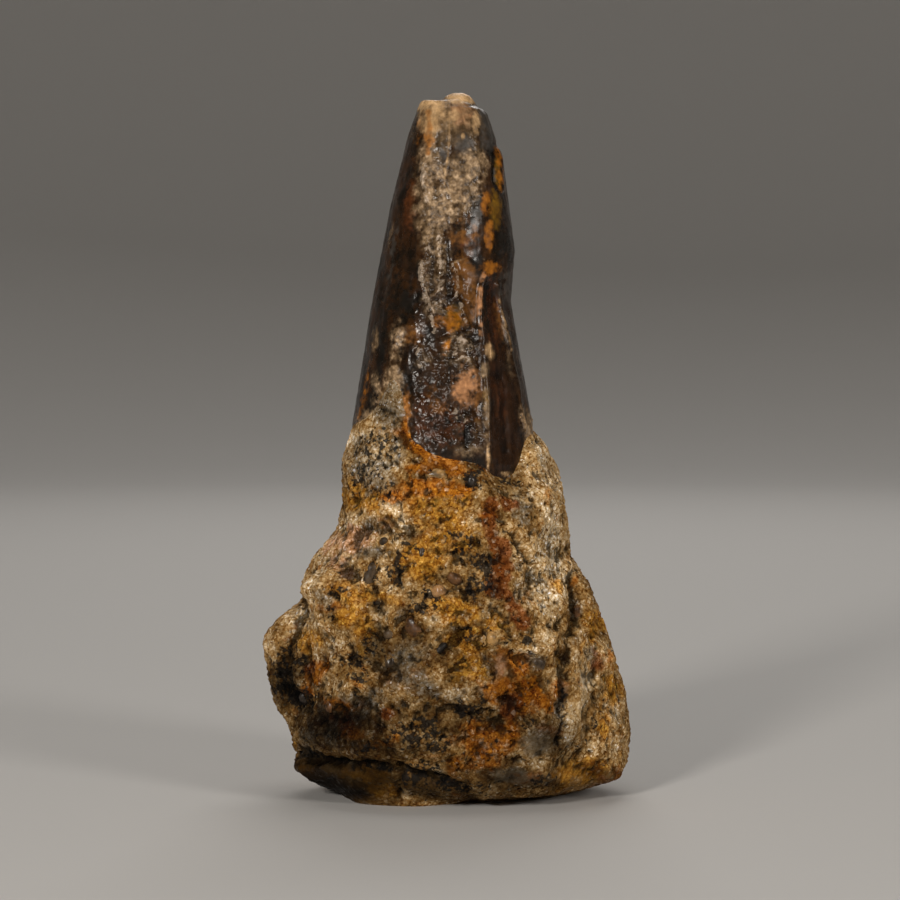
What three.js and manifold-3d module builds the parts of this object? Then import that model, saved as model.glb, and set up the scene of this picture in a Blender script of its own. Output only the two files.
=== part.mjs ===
// A fossil dinosaur tooth that stands in the lump of coarse sandstone it was found in.
// Millimetres, +Z up. The origin is the middle of the footprint, and the best face looks along -Y.
import * as THREE from "three";
import { ImprovedNoise } from "three/addons/math/ImprovedNoise.js";
import { mergeVertices } from "three/addons/utils/BufferGeometryUtils.js";
import Module from "manifold-3d";

// Driving dimensions
const SOCKET_GAP = 0.3; // all round the buried root, between tooth and stone
const TOOTH_SIDES = 40;
const TOOTH_STEP = 1.9; // height of one band of faces on the tooth
const STONE_SIDES = 52;
const STONE_STEP = 1.5;
const LUMP_SIDES = 32;
const TOOTH_ROUNDNESS = 2.1; // 2 is an ellipse, more is squarer
const STONE_ROUNDNESS = 2.35;

// Gentle unevenness: how far it moves a wall, and the span of one swell
const TOOTH_SWELL = { depth: 0.22, span: 7 };
const STONE_SWELL = { depth: 1.5, span: 9 };
const STONE_GRIT = { depth: 0.7, span: 3.6 };

// Cross-sections from the bottom up. Each row is [height, left, right, front, back].
// The tooth: a rounded root end in the stone, the flaring crown, and the snapped-off tip.
const TOOTH_SECTIONS = [
  [17.0, -4.2, 3.4, -3.6, 3.8],
  [18.2, -7.0, 6.2, -6.0, 6.2],
  [21.5, -9.0, 8.0, -7.8, 8.2],
  [28.0, -9.9, 8.8, -8.8, 9.0],
  [35.7, -10.1, 9.2, -9.2, 9.2],
  [40.0, -10.0, 8.9, -8.9, 9.0],
  [44.2, -9.5, 8.3, -8.3, 8.6],
  [49.0, -8.7, 7.4, -7.6, 8.1],
  [53.0, -8.2, 6.75, -7.0, 7.7],
  [55.6, -7.8, 6.6, -6.7, 7.4],
  [59.2, -7.05, 6.95, -6.3, 7.1],
  [64.5, -5.85, 6.35, -5.5, 6.4],
  [69.0, -4.8, 5.7, -4.6, 5.7],
  [70.6, -4.4, 5.0, -4.2, 5.4],
  [73.4, -3.65, 4.7, -3.4, 4.7],
  [74.6, -3.25, 3.5, -2.7, 4.0],
  [75.2, -2.7, 2.4, -2.0, 3.2],
];
// A crumb of sediment that stayed on the broken tip
const TIP_CRUMB = { at: [1.15, 0.3, 75.0], half: [1.75, 1.7, 1.0] };

// The body of the stone, from its foot to the collar that closes round the crown
const BODY_SECTIONS = [
  [0.0, -5.6, 12.2, -4.4, 9.6],
  [0.7, -7.4, 14.2, -9.6, 10.6],
  [1.8, -9.4, 15.6, -12.0, 11.6],
  [3.0, -11.6, 16.2, -12.9, 12.2],
  [4.6, -14.2, 16.5, -13.7, 12.8],
  [6.8, -15.7, 16.4, -14.4, 13.2],
  [9.5, -15.6, 16.0, -14.9, 13.4],
  [13.0, -15.1, 15.2, -15.2, 13.5],
  [18.0, -15.2, 14.3, -14.9, 13.3],
  [22.3, -16.3, 13.8, -14.2, 13.0],
  [24.8, -15.8, 13.3, -13.6, 12.7],
  [27.4, -14.0, 12.8, -12.9, 12.4],
  [30.0, -11.7, 12.7, -12.2, 12.1],
  [32.5, -11.3, 12.4, -11.4, 11.8],
  [36.3, -11.35, 11.75, -10.3, 11.3],
  [37.8, -11.0, 11.0, -9.7, 10.9],
  [39.5, -10.5, 9.8, -8.9, 10.2],
  [41.6, -9.2, 8.2, -8.0, 9.0],
  [43.0, -7.6, 6.6, -6.6, 7.6],
];
// The knob that stands out on the left, behind a dark crevice
const KNOB_SECTIONS = [
  [4.6, -13.6, -8.0, -2.5, 4.0],
  [6.8, -15.6, -8.0, -4.2, 6.4],
  [9.5, -17.3, -8.0, -5.2, 7.6],
  [13.3, -18.8, -8.0, -5.8, 7.8],
  [17.2, -19.3, -8.0, -5.2, 7.0],
  [19.7, -18.3, -8.0, -4.0, 5.4],
  [21.4, -15.6, -8.0, -2.0, 3.6],
];
// The slab along the right side, set back from the front
const SLAB_SECTIONS = [
  [0.6, 6.0, 15.0, -5.0, 8.0],
  [1.8, 6.0, 17.3, -7.0, 9.4],
  [4.4, 6.0, 18.9, -8.2, 10.4],
  [6.4, 6.0, 19.2, -8.4, 10.6],
  [9.5, 6.0, 19.2, -8.0, 10.4],
  [13.3, 6.0, 19.0, -7.2, 10.0],
  [17.2, 6.0, 17.6, -6.4, 9.2],
  [21.0, 6.0, 16.3, -5.6, 8.0],
  [23.6, 6.0, 15.2, -4.8, 6.6],
  [26.0, 6.0, 12.8, -3.0, 4.6],
];
// The thin ledge under the front left edge
const LEDGE_SECTIONS = [
  [0.0, -11.4, 2.0, -8.2, 6.4],
  [1.1, -12.8, 2.0, -9.4, 7.4],
  [2.1, -14.4, 2.0, -10.2, 8.4],
  [3.0, -16.1, 2.0, -10.6, 9.0],
  [4.4, -15.9, 2.0, -10.2, 9.2],
  [6.4, -15.0, 2.0, -9.0, 9.0],
];
// The bulge at the back, which lets the lump stand
const BACK_SECTIONS = [
  [0.0, -5.0, 9.0, 2.0, 10.8],
  [2.0, -7.4, 10.6, 2.0, 13.0],
  [6.0, -8.6, 11.6, 2.0, 14.8],
  [12.0, -8.2, 11.0, 2.0, 15.4],
  [18.0, -6.6, 9.0, 2.0, 14.9],
  [23.0, -4.6, 6.4, 2.0, 13.2],
  [26.0, -2.4, 3.6, 2.0, 11.4],
];

// Colours and finish
const ENAMEL = new THREE.MeshStandardMaterial({ color: 0x3a2418, roughness: 0.38, metalness: 0 });
const SANDSTONE = new THREE.MeshStandardMaterial({ color: 0x9a6d38, roughness: 0.9, metalness: 0 });

const wasm = await Module();
wasm.setup();
const perlin = new ImprovedNoise();

// How far a wall swells out at a point. Neighbouring spans use separate stretches of the noise.
function swellAt(point, { depth, span }) {
  return depth * perlin.noise(point.x / span + span, point.y / span + 2 * span, point.z / span);
}

// A rounded cross-section, its walls moved sideways by the swells. It starts at +X and runs towards +Y.
function ringAt(extents, height, sides, roundness, swells, grow) {
  const [left, right, front, back] = extents;
  const middle = new THREE.Vector3((left + right) / 2, (front + back) / 2, height);
  const halfWidth = (right - left) / 2 + grow;
  const halfDepth = (back - front) / 2 + grow;
  return Array.from({ length: sides }, (_, side) => {
    const angle = (2 * Math.PI * side) / sides;
    const across = Math.sign(Math.cos(angle)) * Math.abs(Math.cos(angle)) ** (2 / roundness);
    const along = Math.sign(Math.sin(angle)) * Math.abs(Math.sin(angle)) ** (2 / roundness);
    const outward = new THREE.Vector3(across * halfWidth, along * halfDepth, 0);
    const point = middle.clone().add(outward);
    const swell = swells.reduce((sum, each) => sum + swellAt(point, each), 0);
    return point.addScaledVector(outward.normalize(), swell);
  });
}

// A closed skin over rings of equal length, listed from the bottom up, with a flat fan on each end
function skin(rings) {
  const sides = rings[0].length;
  const last = rings.length - 1;
  const middleOf = (ring) =>
    ring.reduce((sum, point) => sum.add(point), new THREE.Vector3()).divideScalar(sides);
  const points = [...rings.flat(), middleOf(rings[0]), middleOf(rings[last])];
  const bottom = points.length - 2;
  const top = points.length - 1;
  const faces = [];
  for (let side = 0; side < sides; side++) {
    const next = (side + 1) % sides;
    faces.push(bottom, next, side);
    for (let ring = 0; ring < last; ring++) {
      const low = ring * sides;
      const high = low + sides;
      faces.push(low + side, low + next, high + next);
      faces.push(low + side, high + next, high + side);
    }
    faces.push(top, last * sides + side, last * sides + next);
  }
  return new THREE.BufferGeometry().setFromPoints(points).setIndex(faces);
}

// A lump whose cross-sections are eased from one listed height to the next
function lump(rows, { sides, step, roundness, swells, grow = 0 }) {
  const heights = Float32Array.from(rows, (row) => row[0]);
  const extents = Float32Array.from(rows.flatMap((row) => row.slice(1)));
  const sections = new THREE.CubicInterpolant(heights, extents, 4);
  const foot = heights[0];
  const crown = heights[heights.length - 1];
  const bands = Math.round((crown - foot) / step);
  const rings = Array.from({ length: bands + 1 }, (_, band) => {
    const height = foot + ((crown - foot) * band) / bands;
    return ringAt(sections.evaluate(height), height, sides, roundness, swells, grow);
  });
  return skin(rings);
}

function solidOf(geometry) {
  const bare = geometry.clone();
  bare.deleteAttribute("normal");
  bare.deleteAttribute("uv");
  const merged = mergeVertices(bare);
  return new wasm.Manifold(
    new wasm.Mesh({
      numProp: 3,
      vertProperties: merged.getAttribute("position").array,
      triVerts: Uint32Array.from(merged.index.array),
    }),
  );
}

function meshOf(name, solid, material) {
  const { vertProperties, triVerts } = solid.getMesh();
  const geometry = new THREE.BufferGeometry()
    .setAttribute("position", new THREE.BufferAttribute(vertProperties, 3))
    .setIndex(new THREE.BufferAttribute(triVerts, 1));
  geometry.computeVertexNormals();
  const mesh = new THREE.Mesh(geometry, material);
  mesh.name = name;
  return mesh;
}

// The tooth, or with grow the room that it needs
function toothSolid(grow = 0) {
  const crown = lump(TOOTH_SECTIONS, {
    sides: TOOTH_SIDES,
    step: TOOTH_STEP,
    roundness: TOOTH_ROUNDNESS,
    swells: [TOOTH_SWELL],
    grow,
  });
  return solidOf(crown);
}

function crumbSolid() {
  const crumb = new THREE.SphereGeometry(1, 16, 10);
  crumb.scale(...TIP_CRUMB.half);
  crumb.translate(...TIP_CRUMB.at);
  return solidOf(crumb);
}

function stoneSolid() {
  const stone = { step: STONE_STEP, roundness: STONE_ROUNDNESS, swells: [STONE_SWELL, STONE_GRIT] };
  const body = solidOf(lump(BODY_SECTIONS, { ...stone, sides: STONE_SIDES }));
  const outliers = [KNOB_SECTIONS, SLAB_SECTIONS, LEDGE_SECTIONS, BACK_SECTIONS];
  return outliers.reduce(
    (sum, rows) => sum.add(solidOf(lump(rows, { ...stone, sides: LUMP_SIDES }))),
    body,
  );
}

// The room for the root is let down past the root's end, so the gap is there as well.
const socket = toothSolid(SOCKET_GAP).add(toothSolid(SOCKET_GAP).translate([0, 0, -SOCKET_GAP]));

const fossil = new THREE.Group();
fossil.add(meshOf("tooth", toothSolid().add(crumbSolid()), ENAMEL));
fossil.add(meshOf("matrix", stoneSolid().subtract(socket), SANDSTONE));

export default fossil;
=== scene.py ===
"""Looks of a fossil tooth that stands in the lump of sandstone it was found in.

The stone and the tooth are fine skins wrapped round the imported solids, then sculpted, stained and
covered with sand. Metres, +Z up, the best face towards -Y.
"""
import math

import bpy
import numpy as np
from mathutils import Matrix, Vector
from mathutils.bvhtree import BVHTree


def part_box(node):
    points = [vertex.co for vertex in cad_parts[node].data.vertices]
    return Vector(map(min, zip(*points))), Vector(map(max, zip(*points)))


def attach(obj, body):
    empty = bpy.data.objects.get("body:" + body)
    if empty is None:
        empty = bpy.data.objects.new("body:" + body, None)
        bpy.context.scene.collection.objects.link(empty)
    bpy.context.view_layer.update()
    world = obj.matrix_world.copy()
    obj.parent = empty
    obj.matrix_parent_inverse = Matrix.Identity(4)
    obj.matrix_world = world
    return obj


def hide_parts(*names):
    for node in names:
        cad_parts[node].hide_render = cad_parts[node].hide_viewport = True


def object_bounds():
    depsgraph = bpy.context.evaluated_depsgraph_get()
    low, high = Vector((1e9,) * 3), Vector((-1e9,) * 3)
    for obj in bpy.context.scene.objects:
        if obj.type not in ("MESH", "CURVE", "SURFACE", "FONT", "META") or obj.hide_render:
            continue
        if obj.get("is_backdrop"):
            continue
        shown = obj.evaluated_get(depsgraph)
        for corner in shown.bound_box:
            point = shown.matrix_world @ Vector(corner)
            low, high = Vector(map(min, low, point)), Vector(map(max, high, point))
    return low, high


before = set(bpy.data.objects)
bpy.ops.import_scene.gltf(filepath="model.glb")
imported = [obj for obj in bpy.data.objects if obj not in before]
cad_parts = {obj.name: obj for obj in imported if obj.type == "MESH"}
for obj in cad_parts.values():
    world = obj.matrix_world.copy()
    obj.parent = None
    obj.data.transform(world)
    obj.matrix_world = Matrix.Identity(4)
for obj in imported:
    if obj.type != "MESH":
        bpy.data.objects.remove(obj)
cad_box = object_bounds()

MM = 0.001
DOWN = Vector((0, 0, -1))

# The picture, 900 pixels square, and the long lens that takes it
PICTURE = 900
PICTURE_SPAN = 97.6 * MM  # the model's middle plane, from the picture's top to its bottom
PICTURE_MIDDLE = Vector((0.25 * MM, 0, 37.5 * MM))
LENS = 135
SENSOR = 36
CLIPPING = (10 * MM, 20)
LOOK_DOWN = math.radians(3)
VIEW_DISTANCE = PICTURE_SPAN * LENS / SENSOR
FORWARD = Vector((0, math.cos(LOOK_DOWN), -math.sin(LOOK_DOWN)))
RIGHT = Vector((1, 0, 0))
UPWARD = RIGHT.cross(FORWARD)
EYE = PICTURE_MIDDLE - FORWARD * VIEW_DISTANCE

# The floor curves up into a wall
FLOOR_RADIUS = 0.55
FLOOR_CURVE = 0.40
FLOOR_WALL = 1.2
FLOOR_SIDES = 96
FLOOR_TURN = 6  # degrees from one ring of the curve to the next
FLOOR_PAPER = {"Base Color": (0.54, 0.53, 0.515, 1), "Roughness": 0.9}

# Soft boxes: place, size, power, colour
SOFT_BOXES = {
    "key": ((-0.21, -0.48, 0.215), 0.08, 1.70, (1.0, 0.94, 0.87)),
    "fill": ((0.37, -0.40, 0.22), 0.12, 1.05, (1.0, 0.95, 0.89)),
    "top": ((0.00, 0.02, 0.52), 0.26, 0.35, (1.0, 0.98, 0.95)),
    "back": ((0.04, 0.44, 0.42), 0.34, 1.00, (1.0, 0.97, 0.94)),
}
LIGHT_AIM = Vector((0, 0, 36 * MM))
ROOM_LIGHT = (0.06, 0.058, 0.055, 1)

# A skin is a sheet of points: columns round the upright axis, rows from the bottom to the top
BACK_ANGLE = math.pi / 2  # every skin starts and ends at the back
FAR_OUT = 60 * MM  # where the measuring rays start
FACING_EDGE = (-0.35, 0.0)  # how far a side may turn away before it no longer takes what is drawn
HOLLOW_WIDTHS = (1.5, 5.0)  # of the surroundings that a hollow is measured against, in points
BLUR_REACH = 3  # how far a blur reaches, in its own widths
TINY = 1e-12

# The stone's skin
STONE_COLUMNS = 440
STONE_ROWS = {"foot": 12, "side": 188, "top": 8}
STONE_SHAPE = (sum(STONE_ROWS.values()), STONE_COLUMNS, 3)
STONE_LEVEL = 0.25 * MM  # between the heights at which it is measured
LOWEST_LEVEL = 0.02 * MM
STONE_SMOOTHING = 2.6  # in points
CRUST_RISE = 6 * MM  # how far it may run up the crown,
CRUST_THICKNESS = 0.22 * MM  # at least as thick as this
RIM_WAVE = 0.7 * MM  # how far the rim rises and falls behind,
RIM_WAVES = ((4, 0, 1.0), (9, 1, 0.7), (17, 0, 0.4))  # in waves round it: number, start, strength
RIM_OVERLAP = 1.2 * MM  # how far the stone runs on inside the tooth,
INWARD_SLOPE = 0.6  # leaning inwards
RIM_SLOPE = 0.8  # the stone thins out towards the crown,
LEFT_RIM_SLOPE = 0.25  # most of all at the left,
LEFT_SIDE = (-0.1, -0.5)  # cosines of the turn between which that side sets in,
RIM_CURVE = 0.2 / MM  # and it curves outward below
FRONT_SIDE = (-0.1, 0.3)  # sines of the turn, towards the front, between which the drawn rim sets in
SMOOTHED = 0.8  # the share of the relief that a smooth stain takes away
RELIEF_MARGIN = 1.8 * MM  # the relief fades out near the foot, and near the crown
RIM_RELIEF = 0.1  # to this share
THICK = 2 * MM  # stone that takes the whole relief
THIN_RELIEF = 0.4  # the share that the thinnest stone takes
STONE_HOLLOW = 0.14 * MM  # the depth of a hollow that is fully dark
STONE_RELIEF = {  # in millimetres
    "Swell Height": 2.4,
    "Swell Span": 4.2,
    "Pebble Height": 0.30,
    "Pebble Span": 1.7,
    "Crumb Height": 0.20,
    "Crumb Span": 1.5,
    "Pit Depth": 0.35,
    "Pit Span": 1.4,
    "Grit Height": 0.18,
    "Grit Span": 0.50,
}
SWELL_DETAIL = (3.0, 0.5)  # of a noise: its finer layers, and how strong each is beside the last
CRUMB_DETAIL = (2.0, 0.6)
CRUMB_EDGE = (0.52, 0.60)  # the noise at which a crumb sets in and at which it is full
PIT_EDGE = (0.56, 0.64)
PIT_SHIFT = (0.07, 0.02, 0.05)  # keeps the pits apart from the crumbs

# The tooth's skin
TOOTH_COLUMNS = 300
TOOTH_ROWS = {"root": 22, "crown": 262, "cap": 22}
TOOTH_LEVEL = 0.2 * MM
TOOTH_SMOOTHING = 3.2
TOOTH_FILL = 0.3 * MM  # the tooth is thickened to close its socket's gap,
FILL_START = (26 * MM, 32 * MM)  # from here up
FILL_END = (76 * MM, 68 * MM)  # to here
ROOT_END = 17.05 * MM
CROWN_START = 33 * MM
CROWN_EDGE = 74.5 * MM  # where the broken end begins
HIGHEST_RING = CROWN_EDGE + 0.6 * MM
END_ROWS = 4  # below the broken end, evened out with it
END_SMOOTHING = 1.5
STAINED_HEIGHTS = (36 * MM, 75 * MM)
GRAIN_RADIUS = 6 * MM  # the fine grain runs up a round bar of this size,
GRAIN_LENGTHWISE = 0.08  # drawn out lengthwise
COLLAR_CRUST = (41 * MM, 36.5 * MM)  # where crust sets in round the back of the crown's foot
CRUST_HAZE = 0.8
SANDY_BELOW = (47 * MM, 41 * MM)  # loose sand lies only on the low crust,
SANDY_CRUST = (0.3, 0.8)  # where it is this strong
TOOTH_HOLLOW = 0.06 * MM
CROWN_RELIEF = {  # in millimetres
    "Swell Height": 0.55,
    "Swell Span": 3.0,
    "Rib Height": 0.10,
    "Rib Span": 0.9,
    "Pit Height": 0.22,
    "Pit Span": 1.2,
    "Crust Height": 0.07,
    "Crust Span": 0.6,
}
CRUST_EDGE = (0.35, 0.75)  # how strong a film is where it begins to stand proud and where it is full

# How stains fade and spread
STAIN_FADE = (1.75, 0.25)  # from nothing to full, in half sizes
STAIN_SEED = 21
# Behind they are random: the turn round the axis, a factor of the mean size, and the strength
BACK_TURNS = (-0.35, math.pi + 0.35)
STAIN_SPREAD = (0.5, 1.5)
STAIN_STRENGTH = (0.55, 1.0)

# Stains on the face of the stone, by pixel: column, row, half width, half height, turn, strength
STONE_STAINS = {
    "cream": [
        (393, 396, 9, 34, 0, 0.3),  # the crust on the crown
        (376, 420, 16, 14, 0, 0.4),
        (318, 570, 13, 46, 28, 0.8),  # the left shoulder, pale and partly a painted highlight
        (306, 598, 10, 12, 0, 0.45), (395, 510, 16, 9, 0, 0.8), (402, 520, 14, 10, 0, 0.5),
        (352, 517, 16, 6, 0, 0.7), (352, 538, 24, 18, -20, 0.78),
        (372, 458, 30, 26, 0, 0.62),  # under the black pepper on the collar
        (531, 485, 20, 18, -10, 0.4),  # right of the crown's foot
        (551, 470, 12, 30, -10, 0.9), (540, 462, 14, 24, -10, 0.75), (552, 530, 12, 30, -5, 1.05),
        # Beside the slab: pale stone, partly painted light that lifts the shadow of its furrow
        (545, 590, 20, 30, 0, 0.95), (548, 570, 24, 22, 0, 1.2), (535, 552, 16, 16, 0, 0.75),
        (298, 621, 14, 15, 0, 1.05), (335, 552, 12, 14, 0, 0.85), (396, 538, 10, 8, 0, 0.6),
        (357, 577, 11, 9, 0, 0.75), (381, 614, 11, 9, 0, 0.75), (398, 620, 7, 8, 0, 0.5),
        (456, 693, 14, 7, 0, 0.9), (456, 617, 10, 7, 0, 0.4), (554, 680, 8, 15, 0, 0.9),
        (554, 614, 10, 14, 0, 0.8), (397, 546, 9, 8, 0, 0.5), (515, 540, 12, 18, 0, 0.45),
        (545, 640, 18, 9, 0, 0.6), (385, 565, 10, 14, 0, 0.25), (410, 590, 16, 10, 0, 0.45),
        (425, 615, 12, 8, 0, 0.5), (335, 648, 16, 16, 0, 0.62), (300, 650, 12, 10, 0, 0.5),
        (274, 648, 8, 18, 0, 0.6),  # the left knob
        (284, 702, 10, 8, 0, 0.6), (293, 722, 8, 8, 0, 0.6), (340, 684, 14, 6, 0, 0.25),
        (396, 690, 14, 6, 0, 0.6), (437, 672, 10, 6, 0, 0.6), (473, 687, 12, 5, -15, 0.62),
        (531, 651, 16, 4, 0, 1),  # the edge of the small step
        (583, 690, 8, 26, 6, 0.9),  # the strip down the slab
        (568, 728, 9, 18, 8, 0.9), (585, 650, 12, 16, 0, 0.3), (612, 715, 10, 14, 0, 0.8),
        (600, 665, 12, 24, 0, 0.5), (610, 750, 10, 16, 0, 0.75), (590, 745, 10, 10, 0, 0.45),
        (440, 773, 9, 5, 20, 0.9), (536, 766, 7, 7, 0, 0.85), (520, 758, 8, 6, 0, 0.5),
        (405, 795, 6, 5, 0, 0.7),
    ],
    "ochre": [
        (360, 497, 18, 12, 0, 0.9), (350, 590, 22, 14, 0, 0.55), (345, 615, 16, 10, 0, 0.7),
        (420, 560, 18, 20, 0, 0.85), (445, 530, 40, 30, 0, 0.65), (440, 500, 34, 14, 0, 0.75),
        (452, 612, 24, 18, 0, 0.8), (462, 640, 22, 14, 0, 0.8), (496, 622, 10, 12, 0, 0.65),
        (470, 665, 22, 20, 0, 0.8), (365, 635, 12, 18, 0, 0.7), (310, 642, 12, 14, 0, 0.8),
        (390, 600, 12, 8, 0, 0.6), (556, 585, 10, 10, 0, 0.6), (600, 620, 14, 20, 0, 0.7),
        (612, 690, 10, 20, 0, 0.7), (604, 725, 8, 20, 0, 0.7), (580, 770, 26, 14, 0, 0.7),
        (370, 774, 24, 9, 20, 0.9),  # the ledge
        (385, 790, 16, 8, 0, 0.8), (306, 772, 10, 6, 0, 0.6),
    ],
    "orange": [
        (406, 415, 4, 24, 0, 0.85),  # the edge of the crust
        (415, 445, 18, 9, 35, 0.9),  # along the foot of the crown
        (440, 468, 34, 10, 0, 0.85), (425, 486, 24, 10, 0, 0.85), (460, 490, 14, 10, 0, 0.6),
        (390, 497, 12, 7, 0, 0.7), (380, 516, 10, 6, 0, 0.5), (486, 512, 10, 10, 0, 0.6),
        (512, 662, 22, 16, 0, 0.75), (500, 690, 22, 18, 0, 0.75), (530, 700, 20, 22, 0, 0.6),
        (485, 740, 34, 18, 0, 0.8), (470, 760, 26, 12, 0, 0.75), (510, 735, 14, 14, 0, 0.7),
        (385, 742, 18, 8, 0, 0.5), (348, 704, 20, 8, 10, 0.6), (355, 733, 16, 8, 0, 0.55),
        (320, 672, 10, 16, 20, 0.85), (312, 690, 8, 8, 0, 0.7), (330, 608, 12, 8, 0, 0.5),
        (560, 690, 10, 12, 0, 0.5), (598, 775, 20, 10, 0, 0.5), (520, 778, 12, 5, 0, 0.5),
    ],
    "rust": [
        (508, 505, 9, 8, 0, 0.7),
        (490, 525, 10, 14, 0, 0.75),  # the streak below the crown's right edge
        (503, 552, 8, 18, -10, 0.9), (496, 588, 10, 11, 0, 1.25), (518, 616, 8, 9, 0, 0.8),
        (512, 705, 12, 14, 0, 0.8), (480, 755, 18, 8, 0, 0.5), (350, 720, 18, 8, 0, 0.6),
        (388, 713, 9, 5, 0, 0.8), (313, 668, 8, 8, 0, 0.8), (597, 660, 8, 14, 0, 0.6),
        (590, 765, 14, 8, 0, 0.7),
    ],
    "pink": [
        (352, 540, 22, 16, -20, 1), (335, 560, 14, 16, 0, 0.75), (345, 572, 14, 8, 0, 0.6),
        (385, 522, 12, 8, 0, 0.6), (390, 548, 8, 8, 0, 0.4), (545, 735, 16, 16, 0, 0.6),
        (503, 668, 8, 18, -12, 0.65), (565, 690, 8, 14, 0, 0.5), (600, 785, 18, 8, -20, 0.7),
        (412, 680, 16, 14, 0, 0.45),
    ],
    "grey": [
        (390, 400, 16, 32, 0, 0.9), (371, 525, 10, 7, 0, 0.8), (365, 552, 14, 8, 0, 0.6),
        (320, 600, 8, 10, 0, 0.6), (405, 660, 20, 22, 0, 0.6), (415, 680, 20, 14, 0, 0.55),
        (375, 700, 30, 12, 0, 0.5), (340, 714, 26, 14, 0, 0.35), (330, 740, 26, 12, 0, 0.45),
        (320, 755, 24, 8, 10, 0.45),
        (538, 663, 10, 12, 0, 0.85),  # below the small step
        (536, 745, 16, 14, 0, 0.9), (560, 712, 5, 14, 0, 0.6), (524, 512, 12, 16, 0, 0.55),
        (520, 575, 12, 24, 0, 0.4), (590, 650, 14, 18, 0, 0.5), (575, 612, 7, 10, 0, 0.6),
        (430, 690, 16, 12, 0, 0.5), (465, 528, 14, 10, 0, 0.4), (372, 465, 28, 28, 0, 0.55),
        (512, 777, 30, 8, 0, 0.65),
    ],
    "brown": [
        (318, 785, 26, 14, 30, 0.8),  # the ledge
        (345, 790, 26, 9, 15, 0.95), (300, 762, 14, 10, 0, 0.7), (512, 776, 36, 8, 0, 0.7),
        (345, 722, 30, 14, 0, 0.8), (355, 742, 28, 12, 0, 0.6), (393, 682, 14, 12, 0, 0.55),
        (372, 556, 10, 8, 0, 0.55), (456, 676, 12, 10, 0, 0.45), (534, 680, 12, 12, 0, 0.75),
        (478, 678, 8, 8, 0, 0.45), (330, 705, 12, 14, 0, 0.7), (545, 675, 10, 12, 0, 0.5),
        (520, 705, 14, 12, 0, 0.5), (412, 625, 14, 14, 0, 0.4), (566, 655, 4, 8, 0, 0.6),
    ],
    "black": [
        (384, 408, 8, 12, 0, 0.5),  # pepper on the left of the collar
        (378, 448, 20, 18, 0, 0.55), (365, 472, 18, 16, 0, 0.55), (383, 488, 10, 12, 0, 0.6),
        (350, 485, 6, 12, 0, 0.5), (471, 480, 7, 8, 0, 1.1), (482, 466, 6, 7, 0, 0.9),
        (505, 482, 12, 4, 0, 0.5), (397, 558, 8, 8, 0, 0.7), (395, 572, 9, 10, 0, 0.85),
        (393, 584, 7, 6, 0, 0.8), (410, 545, 10, 3, 12, 0.7), (455, 535, 10, 6, 0, 0.6),
        (470, 540, 12, 6, 0, 0.75), (458, 550, 6, 6, 0, 0.8), (475, 553, 12, 8, 0, 0.8),
        (487, 565, 8, 10, 0, 0.85), (472, 588, 9, 9, 0, 0.85), (487, 585, 10, 8, 0, 0.7),
        (428, 596, 8, 8, 0, 0.8), (420, 608, 13, 7, 0, 0.85), (436, 604, 8, 10, 0, 0.6),
        (375, 604, 8, 5, 0, 0.6), (372, 574, 9, 11, 10, 0.7), (410, 735, 16, 12, 0, 0.7),
        (372, 748, 12, 6, 0, 0.6), (340, 735, 10, 6, 0, 0.5), (335, 593, 14, 8, 0, 0.5),
        (330, 613, 8, 10, 0, 0.55), (370, 640, 8, 6, 0, 0.6), (466, 634, 12, 6, -25, 0.7),
        (527, 640, 7, 5, 0, 0.8), (508, 640, 8, 6, 0, 0.5),
        (290, 650, 10, 8, 0, 0.7),  # in the crevice behind the left knob, partly painted shade
        (288, 672, 14, 12, 0, 0.85), (300, 662, 6, 8, 0, 0.8), (305, 697, 12, 10, 0, 1),
        (290, 686, 12, 8, 0, 0.85), (355, 660, 18, 8, 0, 0.65), (365, 677, 12, 6, 0, 0.5),
        (375, 650, 10, 5, 0, 0.7), (467, 708, 13, 8, 0, 1), (483, 701, 5, 4, 0, 0.8),
        (470, 718, 6, 6, 0, 0.5), (427, 727, 12, 12, 0, 0.75), (410, 722, 12, 6, 0, 0.6),
        (433, 748, 10, 6, 0, 0.7), (415, 747, 10, 4, 0, 0.7), (445, 745, 8, 10, 0, 0.6),
        (418, 775, 22, 12, 0, 0.9),  # over the foot
        (450, 783, 30, 6, 5, 0.95), (340, 757, 40, 3, 9, 0.8), (380, 768, 20, 4, 8, 0.8),
        (523, 727, 4, 4, 0, 0.7), (540, 780, 10, 6, 0, 0.6), (594, 725, 4, 10, 0, 0.6),
        (563, 700, 4, 14, 0, 0.6),
    ],
    "smooth": [
        (340, 780, 60, 22, 6, 1),  # the ledge and the rest of the foot
        (425, 780, 30, 14, 0, 0.9), (510, 778, 40, 9, 0, 0.8), (575, 775, 34, 14, 0, 0.6),
        (536, 745, 18, 14, 0, 0.7), (580, 700, 14, 36, 8, 0.5), (405, 665, 20, 20, 0, 0.4),
        (503, 668, 8, 18, -12, 0.7), (366, 553, 10, 7, 0, 0.6),
    ],
    # Painted shade: darker towards the bottom, on the ledge, in the crevice behind the left knob and under
    # the crown's rim
    "dirt_and_painted_shade": [
        (388, 402, 20, 34, 0, 0.34),  # the crust on the crown
        (345, 778, 66, 26, 4, 1.05),  # the ledge
        (440, 787, 60, 14, 0, 0.8), (345, 726, 52, 28, 0, 0.9), (292, 682, 20, 32, 0, 0.8),
        (512, 784, 60, 12, 0, 0.75), (385, 748, 40, 18, 0, 0.7), (400, 722, 30, 20, 0, 0.5),
        (316, 676, 12, 16, 0, 0.45), (375, 646, 16, 24, 0, 0.75), (495, 591, 10, 10, 0, 0.65),
        (434, 471, 18, 10, 0, 0.6), (338, 680, 16, 12, 0, 0.35), (598, 776, 22, 13, 0, 0.72),
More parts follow.
